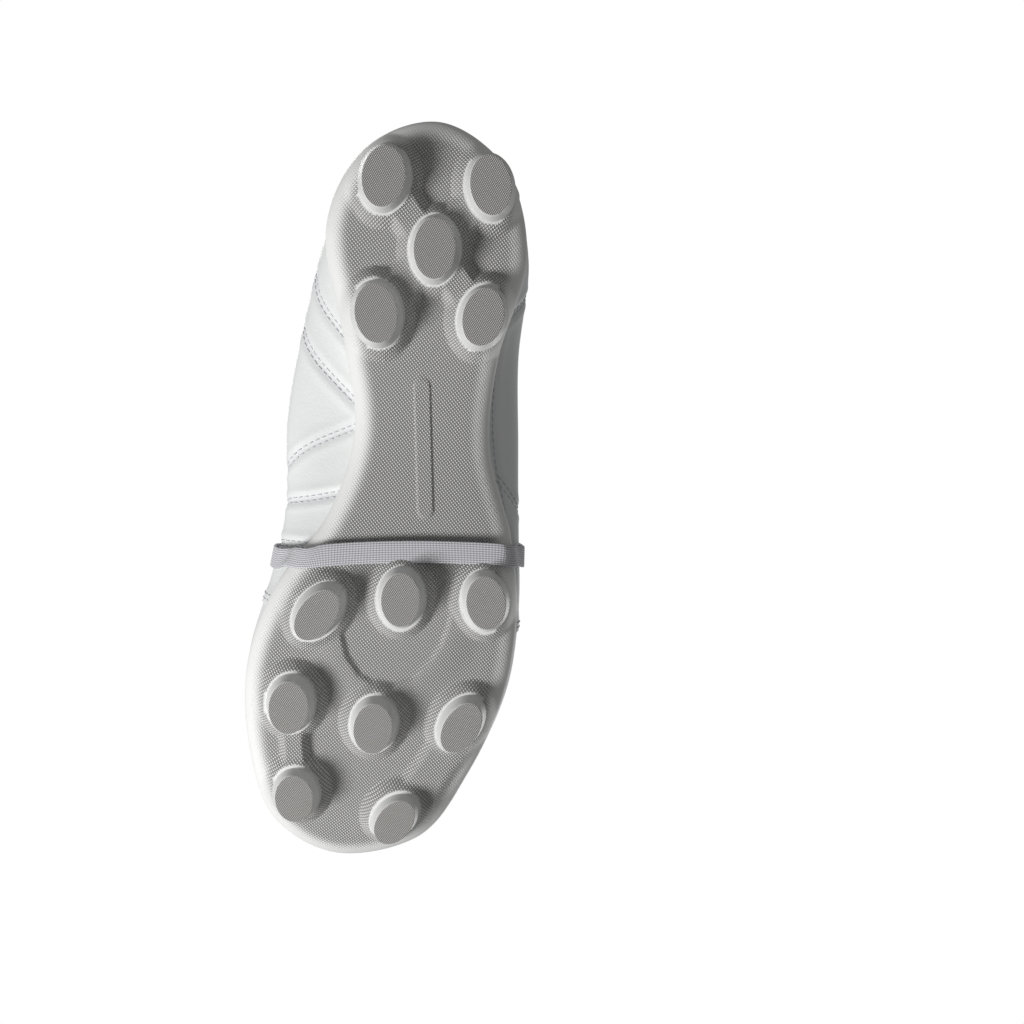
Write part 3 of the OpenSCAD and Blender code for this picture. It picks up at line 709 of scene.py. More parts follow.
def build_outsole():
    columns = 840
    u = np.linspace(0, STATIONS, columns, endpoint=False)
    spine = spine_by(around(OUTLINE, u))
    start = inside(u, EDGE_IN)
    rings, knurl = [], []

    def add(xy, z, mask):
        rings.append(at_height(xy, z))
        knurl.append(np.broadcast_to(mask, (columns,)))

    reach = np.linalg.norm(start - spine, axis=1)
    for share in np.linspace(CENTRE_SHARE, 1, 78):
        xy = mix(spine, start, share)
        mask = np.ones(columns)
        for stud in STUDS:
            mask = mask * smooth((stud_distance(stud, *xy.T) - STUD_TAPER - 0.4) / 0.6)
        left = (1 - share) * reach + EDGE_IN
        add(xy, plate_z(xy[:, 0]) + crown(left) - relief(*xy.T), mask * knurl_fade(left))
    for angle in np.linspace(0, math.pi / 2, 12)[1:]:
        left = np.full(columns, EDGE_IN * (1 - math.sin(angle)))
        xy = inside(u, left)
        up = EDGE_UP * (1 - math.cos(angle))
        bulge = relief(*xy.T) * (1 - up / EDGE_UP)
        add(xy, plate_z(xy[:, 0]) + crown(left) + up - bulge, knurl_fade(left))
    wall = rings[-1]
    for share in (0.3, 0.6, 0.85):
        add(wall[:, :2], mix(wall[:, 2], rim_z(wall[:, 0]) - BEAD, share), 0)
    for angle in np.linspace(0, math.pi, 7):
        xy = inside(u, RIM_WIDTH / 2 * (1 - math.cos(angle)))
        add(xy, rim_z(xy[:, 0]) - BEAD + BEAD * math.sin(angle), 0)
    low = inside(u, RIM_WIDTH)
    add(low, plate_z(low[:, 0]) + PLATE_THICKNESS, 0)
    for share in (0.6, CENTRE_SHARE):
        xy = mix(spine, low, share)
        add(xy, plate_z(xy[:, 0]) + PLATE_THICKNESS, 0)
    faces = ring_faces(len(rings), columns) + cap_faces(len(rings), columns)
    obj = make("outsole_moulding", np.stack(rings), faces, SOLE, sharp=70)
    write_values(obj, "knurl", np.concatenate(knurl))
    finish_piece(obj, SHOE, "sole", "outsole")


def build_studs(name, node, studs):
    """Smooth hard studs, each with a finely textured wear face."""
    sides = 96
    angle = circle(sides)
    # Spread beyond the tip and height above it, from the middle of the wear face to inside the flare
    profile = [(-1, 0), (-0.45, 0), (-0.16, 0.05), (0, 0.22), (0.25, 1.2), (0.7, 3.2), (1.25, 5.2),
               (1.9, 6.9), (2.1, 8.0)]
    points, side_faces, face_faces = [], [], []
    for stud in studs:
        x0, y0, long, wide, turn, z0, shift = stud
        c, s = math.cos(math.radians(turn)), math.sin(math.radians(turn))
        first = sum(len(p) for p in points)
        rings = []
        for spread, up in profile:
            lean = shift * 0.5 * up / profile[-1][1]
            a = (long + spread) * np.cos(angle)
            b = (wide + spread) * np.sin(angle)
            x, y = x0 + lean + a * c - b * s, y0 + a * s + b * c
            rings.append(np.stack([x, y, np.full(sides, z0 + up)], -1))
        points.append(np.concatenate(rings))
        quads = turned_faces(len(profile), sides, first)
        wear = 2 * sides
        face_faces += quads[:wear] + [tuple(first + i for i in range(sides - 1, -1, -1))]
        last = first + (len(profile) - 1) * sides
        side_faces += quads[wear:] + [tuple(last + i for i in range(sides))]
    faces = [(0, side_faces), (1, face_faces)]
    obj = make(name, np.concatenate(points), faces, [STUD_SIDE, STUD_FACE], sharp=60)
    finish_piece(obj, SHOE, "stud", node)


build_outsole()
build_studs("heel_stud_set", "heel_studs", HEEL_STUDS)
build_studs("forefoot_stud_set", "forefoot_studs", FORE_STUDS)

# ---- Seams of the upper ----

# Each seam is a run of stations and levels on the upper
MEDIAL_SEAMS = [
    [(3.05, 1.05), (2.75, 1.5), (2.35, 2.1), (2.1, 2.9), (2.0, 3.7)],
    [(3.72, 1.05), (3.35, 1.5), (2.95, 2.1), (2.75, 2.9), (2.65, 3.7)],
    [(3.93, 1.05), (4.2, 1.5), (4.6, 2.1), (4.9, 2.8), (5.1, 3.45)],
    [(4.72, 1.05), (4.86, 1.5), (5.0, 2.1), (5.25, 2.8), (5.5, 3.45)],
    [(5.38, 1.05), (5.43, 1.5), (5.5, 2.1), (5.65, 2.8), (5.85, 3.45)]]
LATERAL_SEAMS = [
    [(17.3, 1.14), (16.5, 1.2), (15.6, 1.24), (14.8, 1.22), (14.0, 1.16)],
    [(STATIONS - a, b) for a, b in [(2.6, 1.25), (2.45, 1.7), (2.3, 2.3), (2.15, 3.0), (2.05, 3.7)]],
    [(STATIONS - a, b) for a, b in [(4.3, 1.25), (4.6, 1.7), (4.85, 2.3), (5.1, 2.9), (5.3, 3.45)]]]
SEAM_DEPTH = 0.75
SEAM_WIDTH = 1.9
SEAM_LIP = 0.28
SEAM_LIP_AT = 3.6
SEAM_LIP_WIDTH = 1.6
STITCH_LENGTH = 2.3
STITCH_STEP = 3.1
ROW_SPACING = 2.2
THREAD_RADIUS = 0.34
THREAD_DIP = 0.12


def seam_line(seam, out=0.0, samples=120):
    """Points, stations and levels along a seam."""
    uv = along([(a, b, 0) for a, b in seam], np.linspace(0, len(seam) - 1, samples))
    return skin(uv[:, 0], uv[:, 1], out), uv[:, 0], uv[:, 1]


def nearest(points, line):
    """Distance from each point to a polyline's points."""
    flat = points.reshape(-1, 3)
    best = np.full(len(flat), 1e9)
    for start in range(0, len(line), 40):
        part = line[start:start + 40]
        best = np.minimum(best, np.linalg.norm(flat[:, None] - part[None], axis=2).min(1))
    return best.reshape(points.shape[:-1])


def seam_relief(u, v, seams):
    """Leather drawn in along its seams, and padded out between them."""
    points = upper(u, v)
    distance = np.full(u.shape, 1e9)
    for seam in seams:
        distance = np.minimum(distance, nearest(points, seam_line(seam)[0]))
    channel = -SEAM_DEPTH * np.exp(-((distance / SEAM_WIDTH) ** 2))
    lip = SEAM_LIP * np.exp(-(((distance - SEAM_LIP_AT) / SEAM_LIP_WIDTH) ** 2))
    return channel + lip


def thread_run(line, normal, side_shift):
    """Stitches along a line of points: short capsules that lie on the surface."""
    run = run_lengths(line)
    heading = unit(np.gradient(line, axis=0))
    line = line + side_shift * unit(np.cross(normal, heading))
    sides = 6
    angle = circle(sides)[:, None]
    points, faces, first = [], [], 0
    for start in np.arange(0.4, run[-1] - STITCH_LENGTH, STITCH_STEP):
        middle = start + STITCH_LENGTH / 2
        centre, ahead, up = (np.array([np.interp(middle, run, values[:, k]) for k in range(3)])
                             for values in (line, heading, normal))
        ahead, up = unit(ahead), unit(up)
        across = np.cross(up, ahead)
        for share, fat in ((-0.82, 0.75), (0.0, 1.0), (0.82, 0.75)):
            points.append(centre + ahead * share * STITCH_LENGTH / 2
                          + THREAD_RADIUS * fat * (np.cos(angle) * across + np.sin(angle) * up))
        for share in (-1, 1):
            points.append((centre + ahead * share * STITCH_LENGTH / 2 - up * THREAD_DIP)[None])
        faces += turned_faces(3, sides, first)
        for k in range(sides):
            m = (k + 1) % sides
            faces.append((first + 3 * sides, first + m, first + k))
            faces.append((first + 3 * sides + 1, first + 2 * sides + k, first + 2 * sides + m))
        first += 3 * sides + 2
    return np.concatenate(points), faces


def build_stitches(name, body, slot_name, runs):
    """One mesh of all the stitches along several runs of (line, normal, side shift)."""
    points, faces, first = [], [], 0
    for line, normal, shift in runs:
        p, f = thread_run(line, normal, shift)
        points.append(p)
        faces += [tuple(i + first for i in face) for face in f]
        first += len(p)
    finish_piece(make(name, np.concatenate(points), faces, THREAD, sharp=80), body, slot_name)


def double_row(seam, out):
    """Two lines of stitching along a seam, at a height above the upper's surface."""
    line, u, v = seam_line(seam, out, 400)
    return [(line, upper_normal(u, v), shift) for shift in (-ROW_SPACING / 2, ROW_SPACING / 2)]


def single_row(seam, out):
    line, u, v = seam_line(seam, out, 300)
    return (line, upper_normal(u, v), 0.0)


# ---- Upper ----

SEAM_GAP = 0.005
QUARTER_RISE = 0.7
QUARTER_RISE_START = 5.95
VAMP_LAP = 0.12
VAMP_UNDER = -0.5
COLLAR_LOW = 3.0
PAD_END = 3.25
PAD_EDGE = 1.2
PAD_RISE = 2.7
ROLL_UP = 1.5
ROLL_WIDTH = COLLAR_IN + LINING + 0.5
ROLL_HEIGHT = 3.4


def overlap(u):
    """The quarters' front edges lie over the vamp."""
    return QUARTER_RISE * smooth((np.minimum(u, STATIONS - u) - QUARTER_RISE_START) / 0.22)


def build_quarter(name, node, u0, u1, seams):
    u, v = patch(u0, u1, 0, 4, 190, 96)
    relief_out = seam_relief(u, v, seams) * smooth((v - 1.0) / 0.1)
    outer = skin(u, v, relief_out + overlap(u))
    inner = skin(u, v, relief_out * 0.3 - LEATHER + overlap(u) * 0.6)
    finish_piece(sheet(name, outer, inner, WHITE_LEATHER), SHOE, "leather", node)


def build_vamp():
    u, v = patch(VAMP_SEAM - VAMP_LAP, STATIONS - VAMP_SEAM + VAMP_LAP, 0, 4, 240, 96)
    outer = skin(u, v, np.where(np.minimum(u, STATIONS - u) < VAMP_SEAM, VAMP_UNDER, 0.0))
    inner = skin(u, v, -LEATHER - 0.1)
    finish_piece(sheet("vamp_leather", outer, inner, WHITE_LEATHER), SHOE, "leather", "vamp")


build_vamp()
build_quarter("medial_quarter_leather", "medial_quarter", SEAM_GAP, VAMP_SEAM - SEAM_GAP, MEDIAL_SEAMS)
build_quarter("lateral_quarter_leather", "lateral_quarter", STATIONS - VAMP_SEAM + SEAM_GAP,
              STATIONS - SEAM_GAP, LATERAL_SEAMS)


def lining_depth(u, v):
    from_heel = np.minimum(u, STATIONS - u)
    return mix(LINING_IN, COLLAR_IN, smooth((v - COLLAR_LOW) * 3) * smooth(4 * (COLLAR_END - from_heel)))


def build_lining(name, node, u0, u1):
    u, v = patch(u0, u1, 0, 4, 110, 50)
    depth = lining_depth(u, v)
    finish_piece(sheet(name, skin(u, v, -depth), skin(u, v, -depth - LINING), LINING_CLOTH),
                 SHOE, "lining", node)


build_lining("vamp_lining_cloth", "vamp_lining", VAMP_SEAM + SEAM_GAP, STATIONS - VAMP_SEAM - SEAM_GAP)
build_lining("medial_lining_cloth", "medial_lining", SEAM_GAP, VAMP_SEAM - SEAM_GAP)
build_lining("lateral_lining_cloth", "lateral_lining", STATIONS - VAMP_SEAM + SEAM_GAP, STATIONS - SEAM_GAP)


def build_collar():
    """Foam ring inside the collar, fullest in its middle, and the rolled binding over its edge."""
    u, v = patch(-PAD_END, PAD_END, 1 + 7 / 3, 4, 120, 16)
    fullness = np.sin(math.pi * (v - v.min()) / (v.max() - v.min())) ** 0.5
    inner_side = LEATHER + TRIM_GAP
    outer = skin(u, v, -inner_side)
    inner = skin(u, v, -inner_side - PAD_EDGE - PAD_RISE * fullness)
    pad = finish_piece(sheet("collar_pad", outer, inner, FOAM), SHOE, "foam", "collar_padding")
    places = np.linspace(-COLLAR_END, COLLAR_END, 170)
    depth = lining_depth(places % STATIONS, np.full(places.shape, 4.0))
    top = upper(places, 4)
    uphill = unit(top - upper(places, 3.9))
    across = upper_normal(places, 4)
    path = top - across * ((LEATHER + depth) / 2)[:, None] + uphill * ROLL_UP
    wobble = 1 + 0.03 * np.sin(places * 23)
    angle = circle(20)[None, :, None]
    rings = (path[:, None] + ROLL_WIDTH / 2 * np.cos(angle) * (across * wobble[:, None])[:, None]
             + ROLL_HEIGHT / 2 * np.sin(angle) * uphill[:, None])
    nu, nv = rings.shape[:2]
    ends = [tuple(range(nv - 1, -1, -1)), tuple((nu - 1) * nv + j for j in range(nv))]
    faces = ring_faces(nu, nv) + ends
    finish_piece(make("collar_roll", rings, faces, TRIM_LEATHER), SHOE, "lining", "collar_binding")


build_collar()


def heel_trim(a, b):
    """Station and level on the heel overlay, from shares across and up it."""
    return mix(-1, 1, a) * mix(1.4, 0.7, b), mix(1.3, 3.75, b)


def build_trim(name, node, u, v):
    outer, inner = skin(u, v, TRIM_OUT), skin(u, v, TRIM_GAP - 0.3)
    finish_piece(sheet(name, outer, inner, TRIM_LEATHER), SHOE, "leather_trim", node)


STAY_LOW = 1 + 8 / 3
build_trim("heel_backstay", "heel_overlay", *heel_trim(*patch(0, 1, 0, 1, 60, 60)))
build_trim("medial_lace_stay", "medial_eyestay", *patch(THROAT_TOP, VAMP_SEAM, STAY_LOW, 4, 110, 16))
build_trim("lateral_lace_stay", "lateral_eyestay",
           *patch(STATIONS - VAMP_SEAM, STATIONS - THROAT_TOP, STAY_LOW, 4, 110, 16))

SEAM_THREAD_OUT = -0.42
VAMP_THREAD_OUT = 0.75
TRIM_THREAD_OUT = TRIM_OUT + 0.08
MEDIAL_STAY_LINES = [[(s, v) for s in (THROAT_TOP + 0.06, 4.6, 5.3, 6.15)] for v in (3.72, 3.95)]
LATERAL_STAY_LINES = [[(STATIONS - s, v) for s, v in line] for line in MEDIAL_STAY_LINES]


def stitch_side(name, seams, vamp_station, stay_lines):
    """Stitching of one side: its seams, the vamp's seam and the lace stay."""
    runs = [run for seam in seams for run in double_row(seam, SEAM_THREAD_OUT)]
    runs += double_row([(vamp_station, v) for v in (1.03, 1.6, 2.4, 3.1, 3.6)], VAMP_THREAD_OUT)
    runs += [single_row(line, TRIM_THREAD_OUT) for line in stay_lines]
    build_stitches(name, SHOE, "leather_trim", runs)


stitch_side("medial_stitching", MEDIAL_SEAMS, VAMP_SEAM - 0.09, MEDIAL_STAY_LINES)
stitch_side("lateral_stitching", LATERAL_SEAMS, STATIONS - VAMP_SEAM + 0.09, LATERAL_STAY_LINES)
OVERLAY_EDGE = [[heel_trim(side, b) for b in (0.03, 0.3, 0.6, 0.97)] for side in (0.06, 0.94)]
build_stitches("heel_stitching", SHOE, "leather_trim",
               [single_row(line, TRIM_THREAD_OUT) for line in OVERLAY_EDGE])

# ---- Eyelets and lace ----

EYELET_V = 3.8
EYELET_STATIONS = np.linspace(4.3, 6.05, 5)


def build_eyelets(name, node, stations):
    """Rolled rings: a half round profile turned about each eyelet's own axis."""
    profile = [(2.3, -0.4), (2.3, 0.25), (2.55, 0.6), (3.0, 0.72), (3.5, 0.6), (3.95, 0.2),
               (4.0, 0.0), (4.0, -0.4)]
    turns = 40
    points, faces = [], []
    for station in stations:
        out = upper_normal(station, EYELET_V)
        centre = skin(station, EYELET_V, TRIM_OUT + 0.4)
        side = unit(np.cross(out, [1.0, 0, 0]))
        other = np.cross(out, side)
        first = sum(len(p) for p in points)
        ring = np.stack([centre + r * (np.cos(a) * side + np.sin(a) * other) + h * out
                         for r, h in profile for a in circle(turns)])
        points.append(ring)
        faces += turned_faces(len(profile), turns, first, close=True)
    finish_piece(make(name, np.concatenate(points), faces, LACQUER, sharp=60), SHOE, "eyelet", node)


build_eyelets("medial_eyelet_rings", "medial_eyelets", EYELET_STATIONS)
build_eyelets("lateral_eyelet_rings", "lateral_eyelets", STATIONS - EYELET_STATIONS)

LACE_HALF = 0.7
LACE_MIDDLE = TRIM_OUT + 2 * LACE_HALF + 0.6
LACE_WIDTH = 7
STATION_STEP = 33


def build_lace():
    """Five flat bars of one lace, rounded at their edges."""
    points, faces, first = [], [], 0
    for station in EYELET_STATIONS:
        a, q = patch(-0.5, 0.5, 1.5, 3.5, 15, 60)
        bow = LACE_HALF * np.sqrt(np.clip(1 - (2 * a) ** 6, 0, 1))
        u = station + a * LACE_WIDTH / STATION_STEP
        outer, inner = instep(u, q, LACE_MIDDLE + bow), instep(u, q, LACE_MIDDLE - bow)
        nu, nv = a.shape
        edge, _ = border(nu, nv)
        points += [outer.reshape(-1, 3), inner.reshape(-1, 3)]
        count = nu * nv
        faces += grid_faces(nu, nv, first) + grid_faces(nu, nv, first + count, flip=True)
        faces += [(first + int(edge[(k + 1) % len(edge)]), first + int(edge[k]),
                   first + count + int(edge[k]), first + count + int(edge[(k + 1) % len(edge)]))
                  for k in range(len(edge))]
        first += 2 * count
    finish_piece(make("lace_bars", np.concatenate(points), faces, LACE_CLOTH), SHOE, "lace", "lace")


build_lace()

# ---- Tongue ----

TONGUE_OUT = -LINING_IN - LINING - 1.6
TONGUE_MIDDLE = 2.5
THROAT_ROWS = [[4.25, 2], [5, 1.5], [5.8, 1.1], [6.6, 0.9], [7.3, 0.9]]
# Rows above the throat: x, z, half width, droop at the sides, and the way outwards in x and z
FREE_ROWS = [[-54, 128, 31, 7, 0.8, 0.5], [-46, 115, 22, 4, 0.8, 0.5]]
TONGUE_ROOT = np.array([17, 0, -8.0])
TONGUE_LEATHER_THICKNESS = 1.2
TONGUE_FOAM = 3.4
TONGUE_GAP = 0.35
TONGUE_BACK = TONGUE_LEATHER_THICKNESS + TONGUE_FOAM + 2 * TONGUE_GAP


def free_row(row, w, out):
    """Row across the part that stands free of the upper."""
    x, z, half, droop, lean, rise = row
    side = 1 - 2 * w
    y = TONGUE_MIDDLE + half * side
    return np.stack([x + out * lean + 0 * w, y, z - droop * side**2 + out * rise], -1)


def tongue_point(s, w, out):
    rows = [instep(u, mix(q, 5 - q, w), TONGUE_OUT + out) for u, q in THROAT_ROWS]
    free = [free_row(row, w, out) for row in FREE_ROWS]
    return along(free + rows + [rows[-1] + TONGUE_ROOT], 7 * s)


def tongue_sheet(name, material, out, thickness, margin, crown=0.0):
    s, w = patch(0, 1, margin, 1 - margin, 90, 50)
    puff = crown * np.sin(math.pi * s) ** 0.4 * np.sin(math.pi * w) ** 0.4
    front = tongue_point(s, w, -out)
    back = tongue_point(s, w, -out - thickness * (puff if crown else 1.0))
    return sheet(name, front, back, material)


finish_piece(tongue_sheet("tongue_face", TONGUE_LEATHER, 0, TONGUE_LEATHER_THICKNESS, 0), SHOE,
             "tongue_leather", "tongue")
tongue_pad = tongue_sheet("tongue_pad", FOAM, TONGUE_LEATHER_THICKNESS + TONGUE_GAP, TONGUE_FOAM, 0.04, 1.0)
finish_piece(tongue_pad, SHOE, "foam", "tongue_padding")
finish_piece(tongue_sheet("tongue_back", LINING_CLOTH, TONGUE_BACK, LINING, 0.02), SHOE,
             "lining", "tongue_lining")

# ---- Fold-over flap ----

FLAP_MIDDLE_OUT, FLAP_FALL_OUT, FLAP_FRONT_OUT = 5, 3.8, 2
FLAP_SIDE_OUT = 1.2
FLAP_FRONT = 7.3
FLAP_SIDE = 0.35
FLAP_STATIONS = (5.2, 6)
FLAP_ROWS = [[-53.4, 129.4, 32, 7, 0, 1], [-46.5, 133.3, 33, 7, 0.35, 0.9], [-34, 126, 35, 8.5, 0.6, 0.8]]
FLAP_THICKNESS = TONGUE_LEATHER_THICKNESS + LINING + TONGUE_GAP
FLAP_BOW = 15
FLAP_ACROSS = np.linspace(0, 1, 81)


def flap_point(s, w, out):
    q = mix(FLAP_SIDE, 5 - FLAP_SIDE, w)
    near_side = smooth((np.minimum(q, 5 - q) - FLAP_SIDE) / (2 * FLAP_SIDE))
    rest, fall, end = (mix(FLAP_SIDE_OUT, middle, near_side) + out
                       for middle in (FLAP_MIDDLE_OUT, FLAP_FALL_OUT, FLAP_FRONT_OUT))
    corner = (2 * w - 1) ** 4 * smooth((s - 0.55) / 0.45)
    front = skin(mix(FLAP_FRONT, STATIONS - FLAP_FRONT, w), 3.25 + 0.5 * (1 - (2 * w - 1) ** 2), end)
    rows = [free_row(row, w, out) for row in FLAP_ROWS] + [instep(4.45, q, rest + 2.5)]
    rows += [instep(station, q, rest) for station in FLAP_STATIONS]
    rows += [instep(6.8, q, fall), front]
    return along(rows, 7 * s * (1 - 0.12 * corner))


def flap_ends():
    """Share of the flap's length where its free edge lies, across its width: a plain round end."""
    w, s = np.meshgrid(FLAP_ACROSS, np.linspace(0.7, 1, 60))
    x = flap_point(s, w, 0.0)[..., 0]
    bow = FLAP_BOW * np.abs(2 * w[0] - 1) ** 3
    arc = np.min(x[-1] + bow) - bow
    return np.array([np.interp(limit, column, s[:, 0]) for limit, column in zip(arc, x.T)])


FLAP_ENDS = flap_ends()


def flap_cut(s, w):
    """Place along the flap, with its free end cut round."""
    return s - (1 - np.interp(w, FLAP_ACROSS, FLAP_ENDS)) * smooth((s - 0.5) / 0.5)


def flap_sheet(name, material, top, bottom, margin):
    s, w = patch(0, 1, margin, 1 - margin, 130, 90)
    edge = np.minimum(np.minimum(w - margin, 1 - margin - w) * 80, (1 - s) * 120)
    dip = -0.35 * np.exp(-(((edge - 4.2) / 1.1) ** 2))
    s = flap_cut(s, w)
    return sheet(name, flap_point(s, w, top + dip), flap_point(s, w, bottom), material)


finish_piece(flap_sheet("flap_face", TONGUE_LEATHER, FLAP_THICKNESS, LINING + TONGUE_GAP, 0), FLAP,
             "tongue_leather", "tongue_flap")
finish_piece(flap_sheet("flap_back", LINING_CLOTH, LINING, 0, 0.02), FLAP, "lining", "flap_lining")


def flap_stitch_line():
    """Line of stitching just inside the flap's free edge."""
    end, margin = 0.955, 0.055
    side = np.linspace(0.12, end, 160)
    front = np.linspace(margin, 1 - margin, 120)
    s = np.concatenate([side, np.full(120, end), side[::-1]])
    w = np.concatenate([np.full(160, margin), front, np.full(160, 1 - margin)])
    s = flap_cut(s, w)
    line = flap_point(s, w, FLAP_THICKNESS - THREAD_DIP)
    normal = unit(flap_point(s, w, FLAP_THICKNESS + 1.0) - line)
    return line, normal, 0.0


build_stitches("flap_stitching", FLAP, "tongue_leather", [flap_stitch_line()])


def build_fold():
    """Leather that turns over the top of the tongue into the flap."""
    w = np.linspace(0, 1, 70)
    back = TONGUE_BACK + LINING + 0.4
    inward = smooth(np.minimum(w, 1 - w) / 0.07)
    rear_low = tongue_point(0.008 + 0.027 * inward, w, -back)
    rear_top = tongue_point(0.0, w, -back) + np.array([-0.4, 0, 1.6])
    front_low = tongue_point(0.02, w, 0.35)
    front_top = tongue_point(0.0, w, 0.4) + np.array([0.2, 0, 0.5])
    flap_over = flap_point(0.012, w, FLAP_THICKNESS + 0.05 + 0.15 * inward)
    flap_under = flap_point(0.012, w, -0.25)
    crest = (rear_top + flap_over) / 2 + np.array([-1.2, 0, 1.7])
    outer = along([rear_low, rear_top, crest, flap_over], np.linspace(0, 3, 16)[:, None])
    inner = along([front_low, front_top, flap_under], np.linspace(0, 2, 16)[:, None])
    obj = sheet("tongue_fold", outer.transpose(1, 0, 2), inner.transpose(1, 0, 2), TONGUE_LEATHER)
    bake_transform(obj)


build_fold()

# ---- Elastic band ----

BAND_MEDIAL = 5.66
BAND_LATERAL = 5.29
BAND_WIDTH = 9.4
BAND_THICKNESS = 1.0
BAND_GAP = 0.8
BAND_OUT = 1.4
# Inner face of the band's path round the sole: x, y, z and slant, from the lateral side to the medial side
BAND_UNDER = [
    [15.9, -51.5, 23, -0.26], [15.3, -49.9, 17, -0.26], [14.8, -46.8, 13.4, -0.24], [14.2, -42, 11.9, -0.15],
    [15.5, -25, 11.4, -0.11], [17.7, -5, 11.3, -0.11], [20.8, 15, 11.4, -0.15], [23.6, 29, 11.5, -0.1],
    [26.2, 37.4, 12.6, 0.35], [27.3, 42.4, 17, 0.5], [29.3, 44.9, 24, 0.45]]
BAND_TILT = -0.08


def band_over(w, ahead):
    station = mix(BAND_MEDIAL, BAND_LATERAL, w)
    share = (4 + (station - FLAP_STATIONS[0]) / (FLAP_STATIONS[1] - FLAP_STATIONS[0])) / 7
    return flap_point(share + ahead, w, FLAP_THICKNESS + BAND_GAP)


def band_side(station, levels, slant):
    """Points and directions of the band, where it lies on one side of the upper."""
    return [(skin(station, v, BAND_OUT), [1, slant, 0]) for v in levels]


def build_band():
    """Woven elastic loop with soft edges, stretched round the shoe and over the flap."""
    shares = np.linspace(0.02, 0.98, 9)
    path = band_side(STATIONS - BAND_LATERAL, (2.8, 2.3, 1.8), -0.12)
    path += [(np.array([x, y, z]), [1, slant, BAND_TILT]) for x, y, z, slant in BAND_UNDER]
    path += band_side(BAND_MEDIAL, (1.6, 2.1, 2.7), 0.1)
    points = np.concatenate([band_over(shares, 0), [point for point, _ in path]])
    across = np.concatenate([unit(band_over(shares, 0.01) - band_over(shares, -0.01)),
                             unit(np.array([side for _, side in path], float))])
    turns = 420
    place = np.linspace(0, len(points), turns, endpoint=False)
    loop, side = around(points, place), unit(around(across, place))
    heading = unit(np.roll(loop, -1, 0) - np.roll(loop, 1, 0))
    out = unit(np.cross(heading, side))
    # Half of the section: share across the width, share of the thickness
    width_shares = np.array([-1, -0.97, -0.9, -0.6, -0.3, 0, 0.3, 0.6, 0.9, 0.97, 1])
    lift = np.array([0.5, 0.85, 1, 1, 1, 1, 1, 1, 1, 0.85, 0.5])
    section = [(a, b) for a, b in zip(width_shares, lift)]
    section += [(a, 1 - b) for a, b in zip(width_shares[-2:0:-1], lift[-2:0:-1])]
    rings = np.stack([loop + a * BAND_WIDTH / 2 * side + b * BAND_THICKNESS * out for a, b in section], 1)
    n = len(section)
    closing = [(b * n, b * n + n - 1, a * n + n - 1, a * n)
               for a, b in zip(range(turns), [*range(1, turns), 0])]
    obj = make("elastic_strap", rings, grid_faces(turns, n, close_u=True) + closing, ELASTIC, sharp=80)
    write_values(obj, "along", np.repeat(run_lengths(loop), n))
    write_values(obj, "across", np.tile([a * BAND_WIDTH / 2 for a, _ in section], turns))
    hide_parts("elastic_band")
    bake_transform(obj)


build_band()

# ---- Footbed and the layers under it ----

SOCKLINER_INSET = 8.2
FILLER_THICKNESS = 3.2
BOARD_THICKNESS = 1.6
SOCKLINER_LOW = PLATE_THICKNESS + GAP + FILLER_THICKNESS + GAP + BOARD_THICKNESS + 0.3
SOCKLINER_THICKNESS = 4.5


def build_sockliner():
    """Soft footbed with rounded edges, dished under the heel and the ball."""
    columns = 240
    u = np.linspace(0, STATIONS, columns, endpoint=False)
    edge = inside(u, SOCKLINER_INSET)
    spine = spine_by(edge)
    top, low = SOCKLINER_LOW + SOCKLINER_THICKNESS, SOCKLINER_LOW
    # Share of the way from the middle line to the edge, and height
    section = [(0.02, low), (0.5, low), (0.97, low), (0.995, low + 0.8), (1, low + 2.2), (0.995, top - 0.8)]
    section += [(share, top - drop) for share, drop in (
        (0.975, 0.1), (0.93, 0.15), (0.8, 0.6), (0.6, 0.9), (0.4, 1.0), (0.2, 1.0), (0.02, 1.0))]
    rings = []
    for share, z in section:
        xy = mix(spine, edge, share)
        rings.append(at_height(xy, plate_z(xy[:, 0]) + z))
    faces = ring_faces(len(rings), columns) + cap_faces(len(rings), columns)
    obj = finish_piece(make("footbed_liner", np.stack(rings), faces, KNIT), FOOTBED, "footbed", "sockliner")


build_sockliner()


# CAD nodes that keep their own shape get a better material
for node, material in (("shank", STEEL), ("bottom_filler", FILLER), ("insole_board", BOARD),
                       ("toe_puff", STIFF_BOARD), ("heel_counter", STIFF_BOARD)):
    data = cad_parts[node].data
    data.materials.clear()
    data.materials.append(material)

# ---- Stage ----

FLOOR_SIZE = 3.0
FLOOR_Z = -0.0006


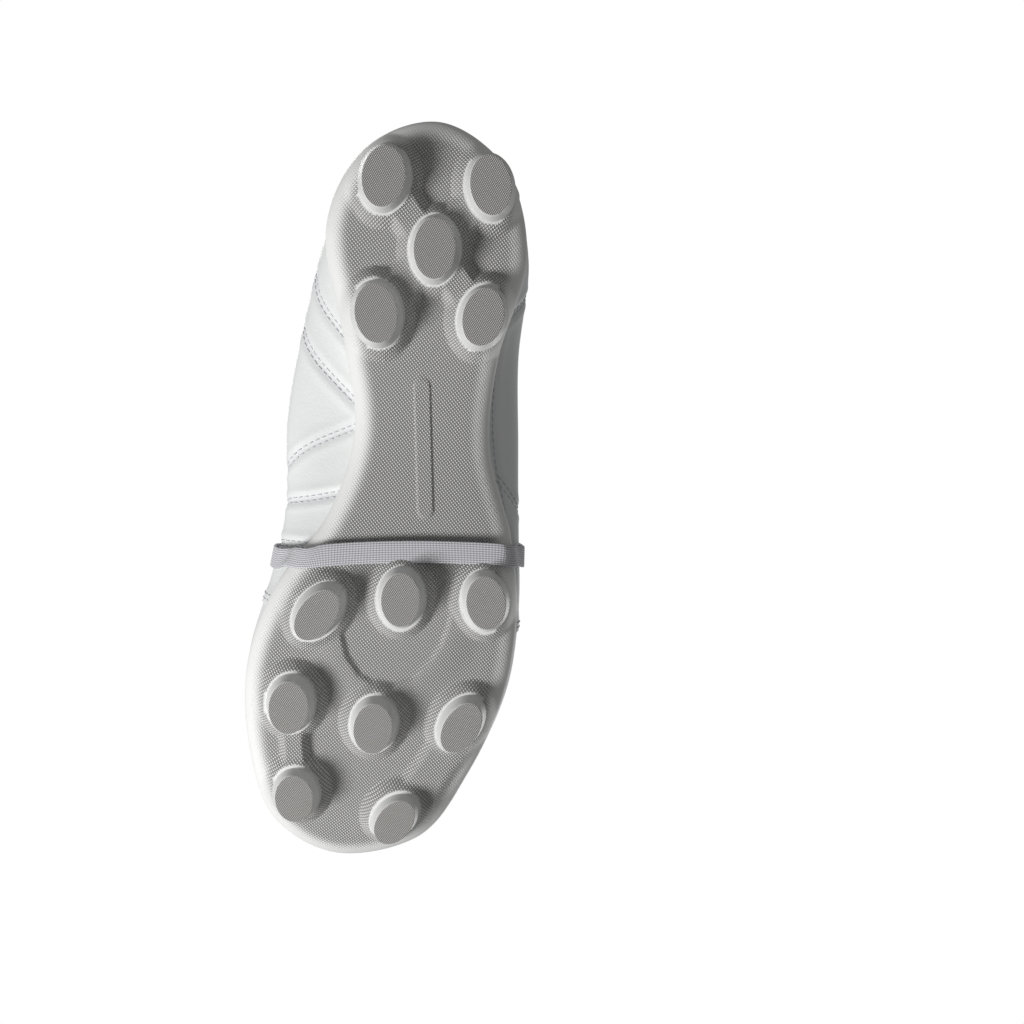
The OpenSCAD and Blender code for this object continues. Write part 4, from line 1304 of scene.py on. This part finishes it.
def add_floor():
    """Pale floor, seen only from above, which lets light through to the sole."""
    mesh = bpy.data.meshes.new("floor")
    corners = [(x * FLOOR_SIZE, y * FLOOR_SIZE, FLOOR_Z) for x, y in ((-1, -1), (1, -1), (1, 1), (-1, 1))]
    mesh.from_pydata(corners, [], [(0, 1, 2, 3)])
    floor = add_object("floor", mesh)
    n = Nodes("floor_paint", 0.8)
    n.base((0.85, 0.85, 0.85))
    tree = n.tree
    clear = n.new("BsdfTransparent")
    blend_node = n.new("MixShader")
    back = n.new("NewGeometry").outputs["Backfacing"]
    x, y = (n.math("POWER", n.axis(axis), 2.0) for axis in "XY")
    away = n.math("SQRT", n.math("ADD", x, y))
    tree.links.new(n.math("MAXIMUM", back, n.ramp(away, 0.35, 2.6)), blend_node.inputs[0])
    tree.links.new(n.shader.outputs[0], blend_node.inputs[1])
    tree.links.new(clear.outputs[0], blend_node.inputs[2])
    output = next(node for node in tree.nodes if node.bl_idname == "ShaderNodeOutputMaterial")
    tree.links.new(blend_node.outputs[0], output.inputs[0])
    mesh.materials.append(n.material)
    floor.visible_shadow = False
    floor.visible_diffuse = False
    floor.visible_glossy = False


def add_light(name, place, target, size, power):
    data = bpy.data.lights.new(name, "AREA")
    data.shape = "DISK"
    data.size = size
    data.energy = power
    light = add_object(name, data)
    light.location = place
    ahead = np.array(target, float) - np.array(place, float)
    light.rotation_euler = Vector(ahead).to_track_quat("-Z", "Y").to_euler()


add_floor()
add_light("under_key", (0.525, 0.833, -0.77), (0, 0, 0.01), 0.45, 15.5)
add_light("over_key", (-0.25, 0.35, 1.3), (0, 0, 0.05), 0.9, 12)
add_light("over_fill", (0.6, -0.75, 1.0), (0, 0, 0.05), 1.0, 7)

world = bpy.data.worlds.new("studio")
world.use_nodes = True
sky = world.node_tree.nodes["Background"]
sky.inputs["Color"].default_value = (1, 1, 1, 1)
seen = world.node_tree.nodes.new("ShaderNodeLightPath")
strength = world.node_tree.nodes.new("ShaderNodeMapRange")
strength.inputs["To Min"].default_value = 0.2
strength.inputs["To Max"].default_value = 1.0
world.node_tree.links.new(seen.outputs["Is Camera Ray"], strength.inputs["Value"])
world.node_tree.links.new(strength.outputs[0], sky.inputs["Strength"])
bpy.context.scene.world = world
bpy.context.scene.view_settings.view_transform = "Standard"
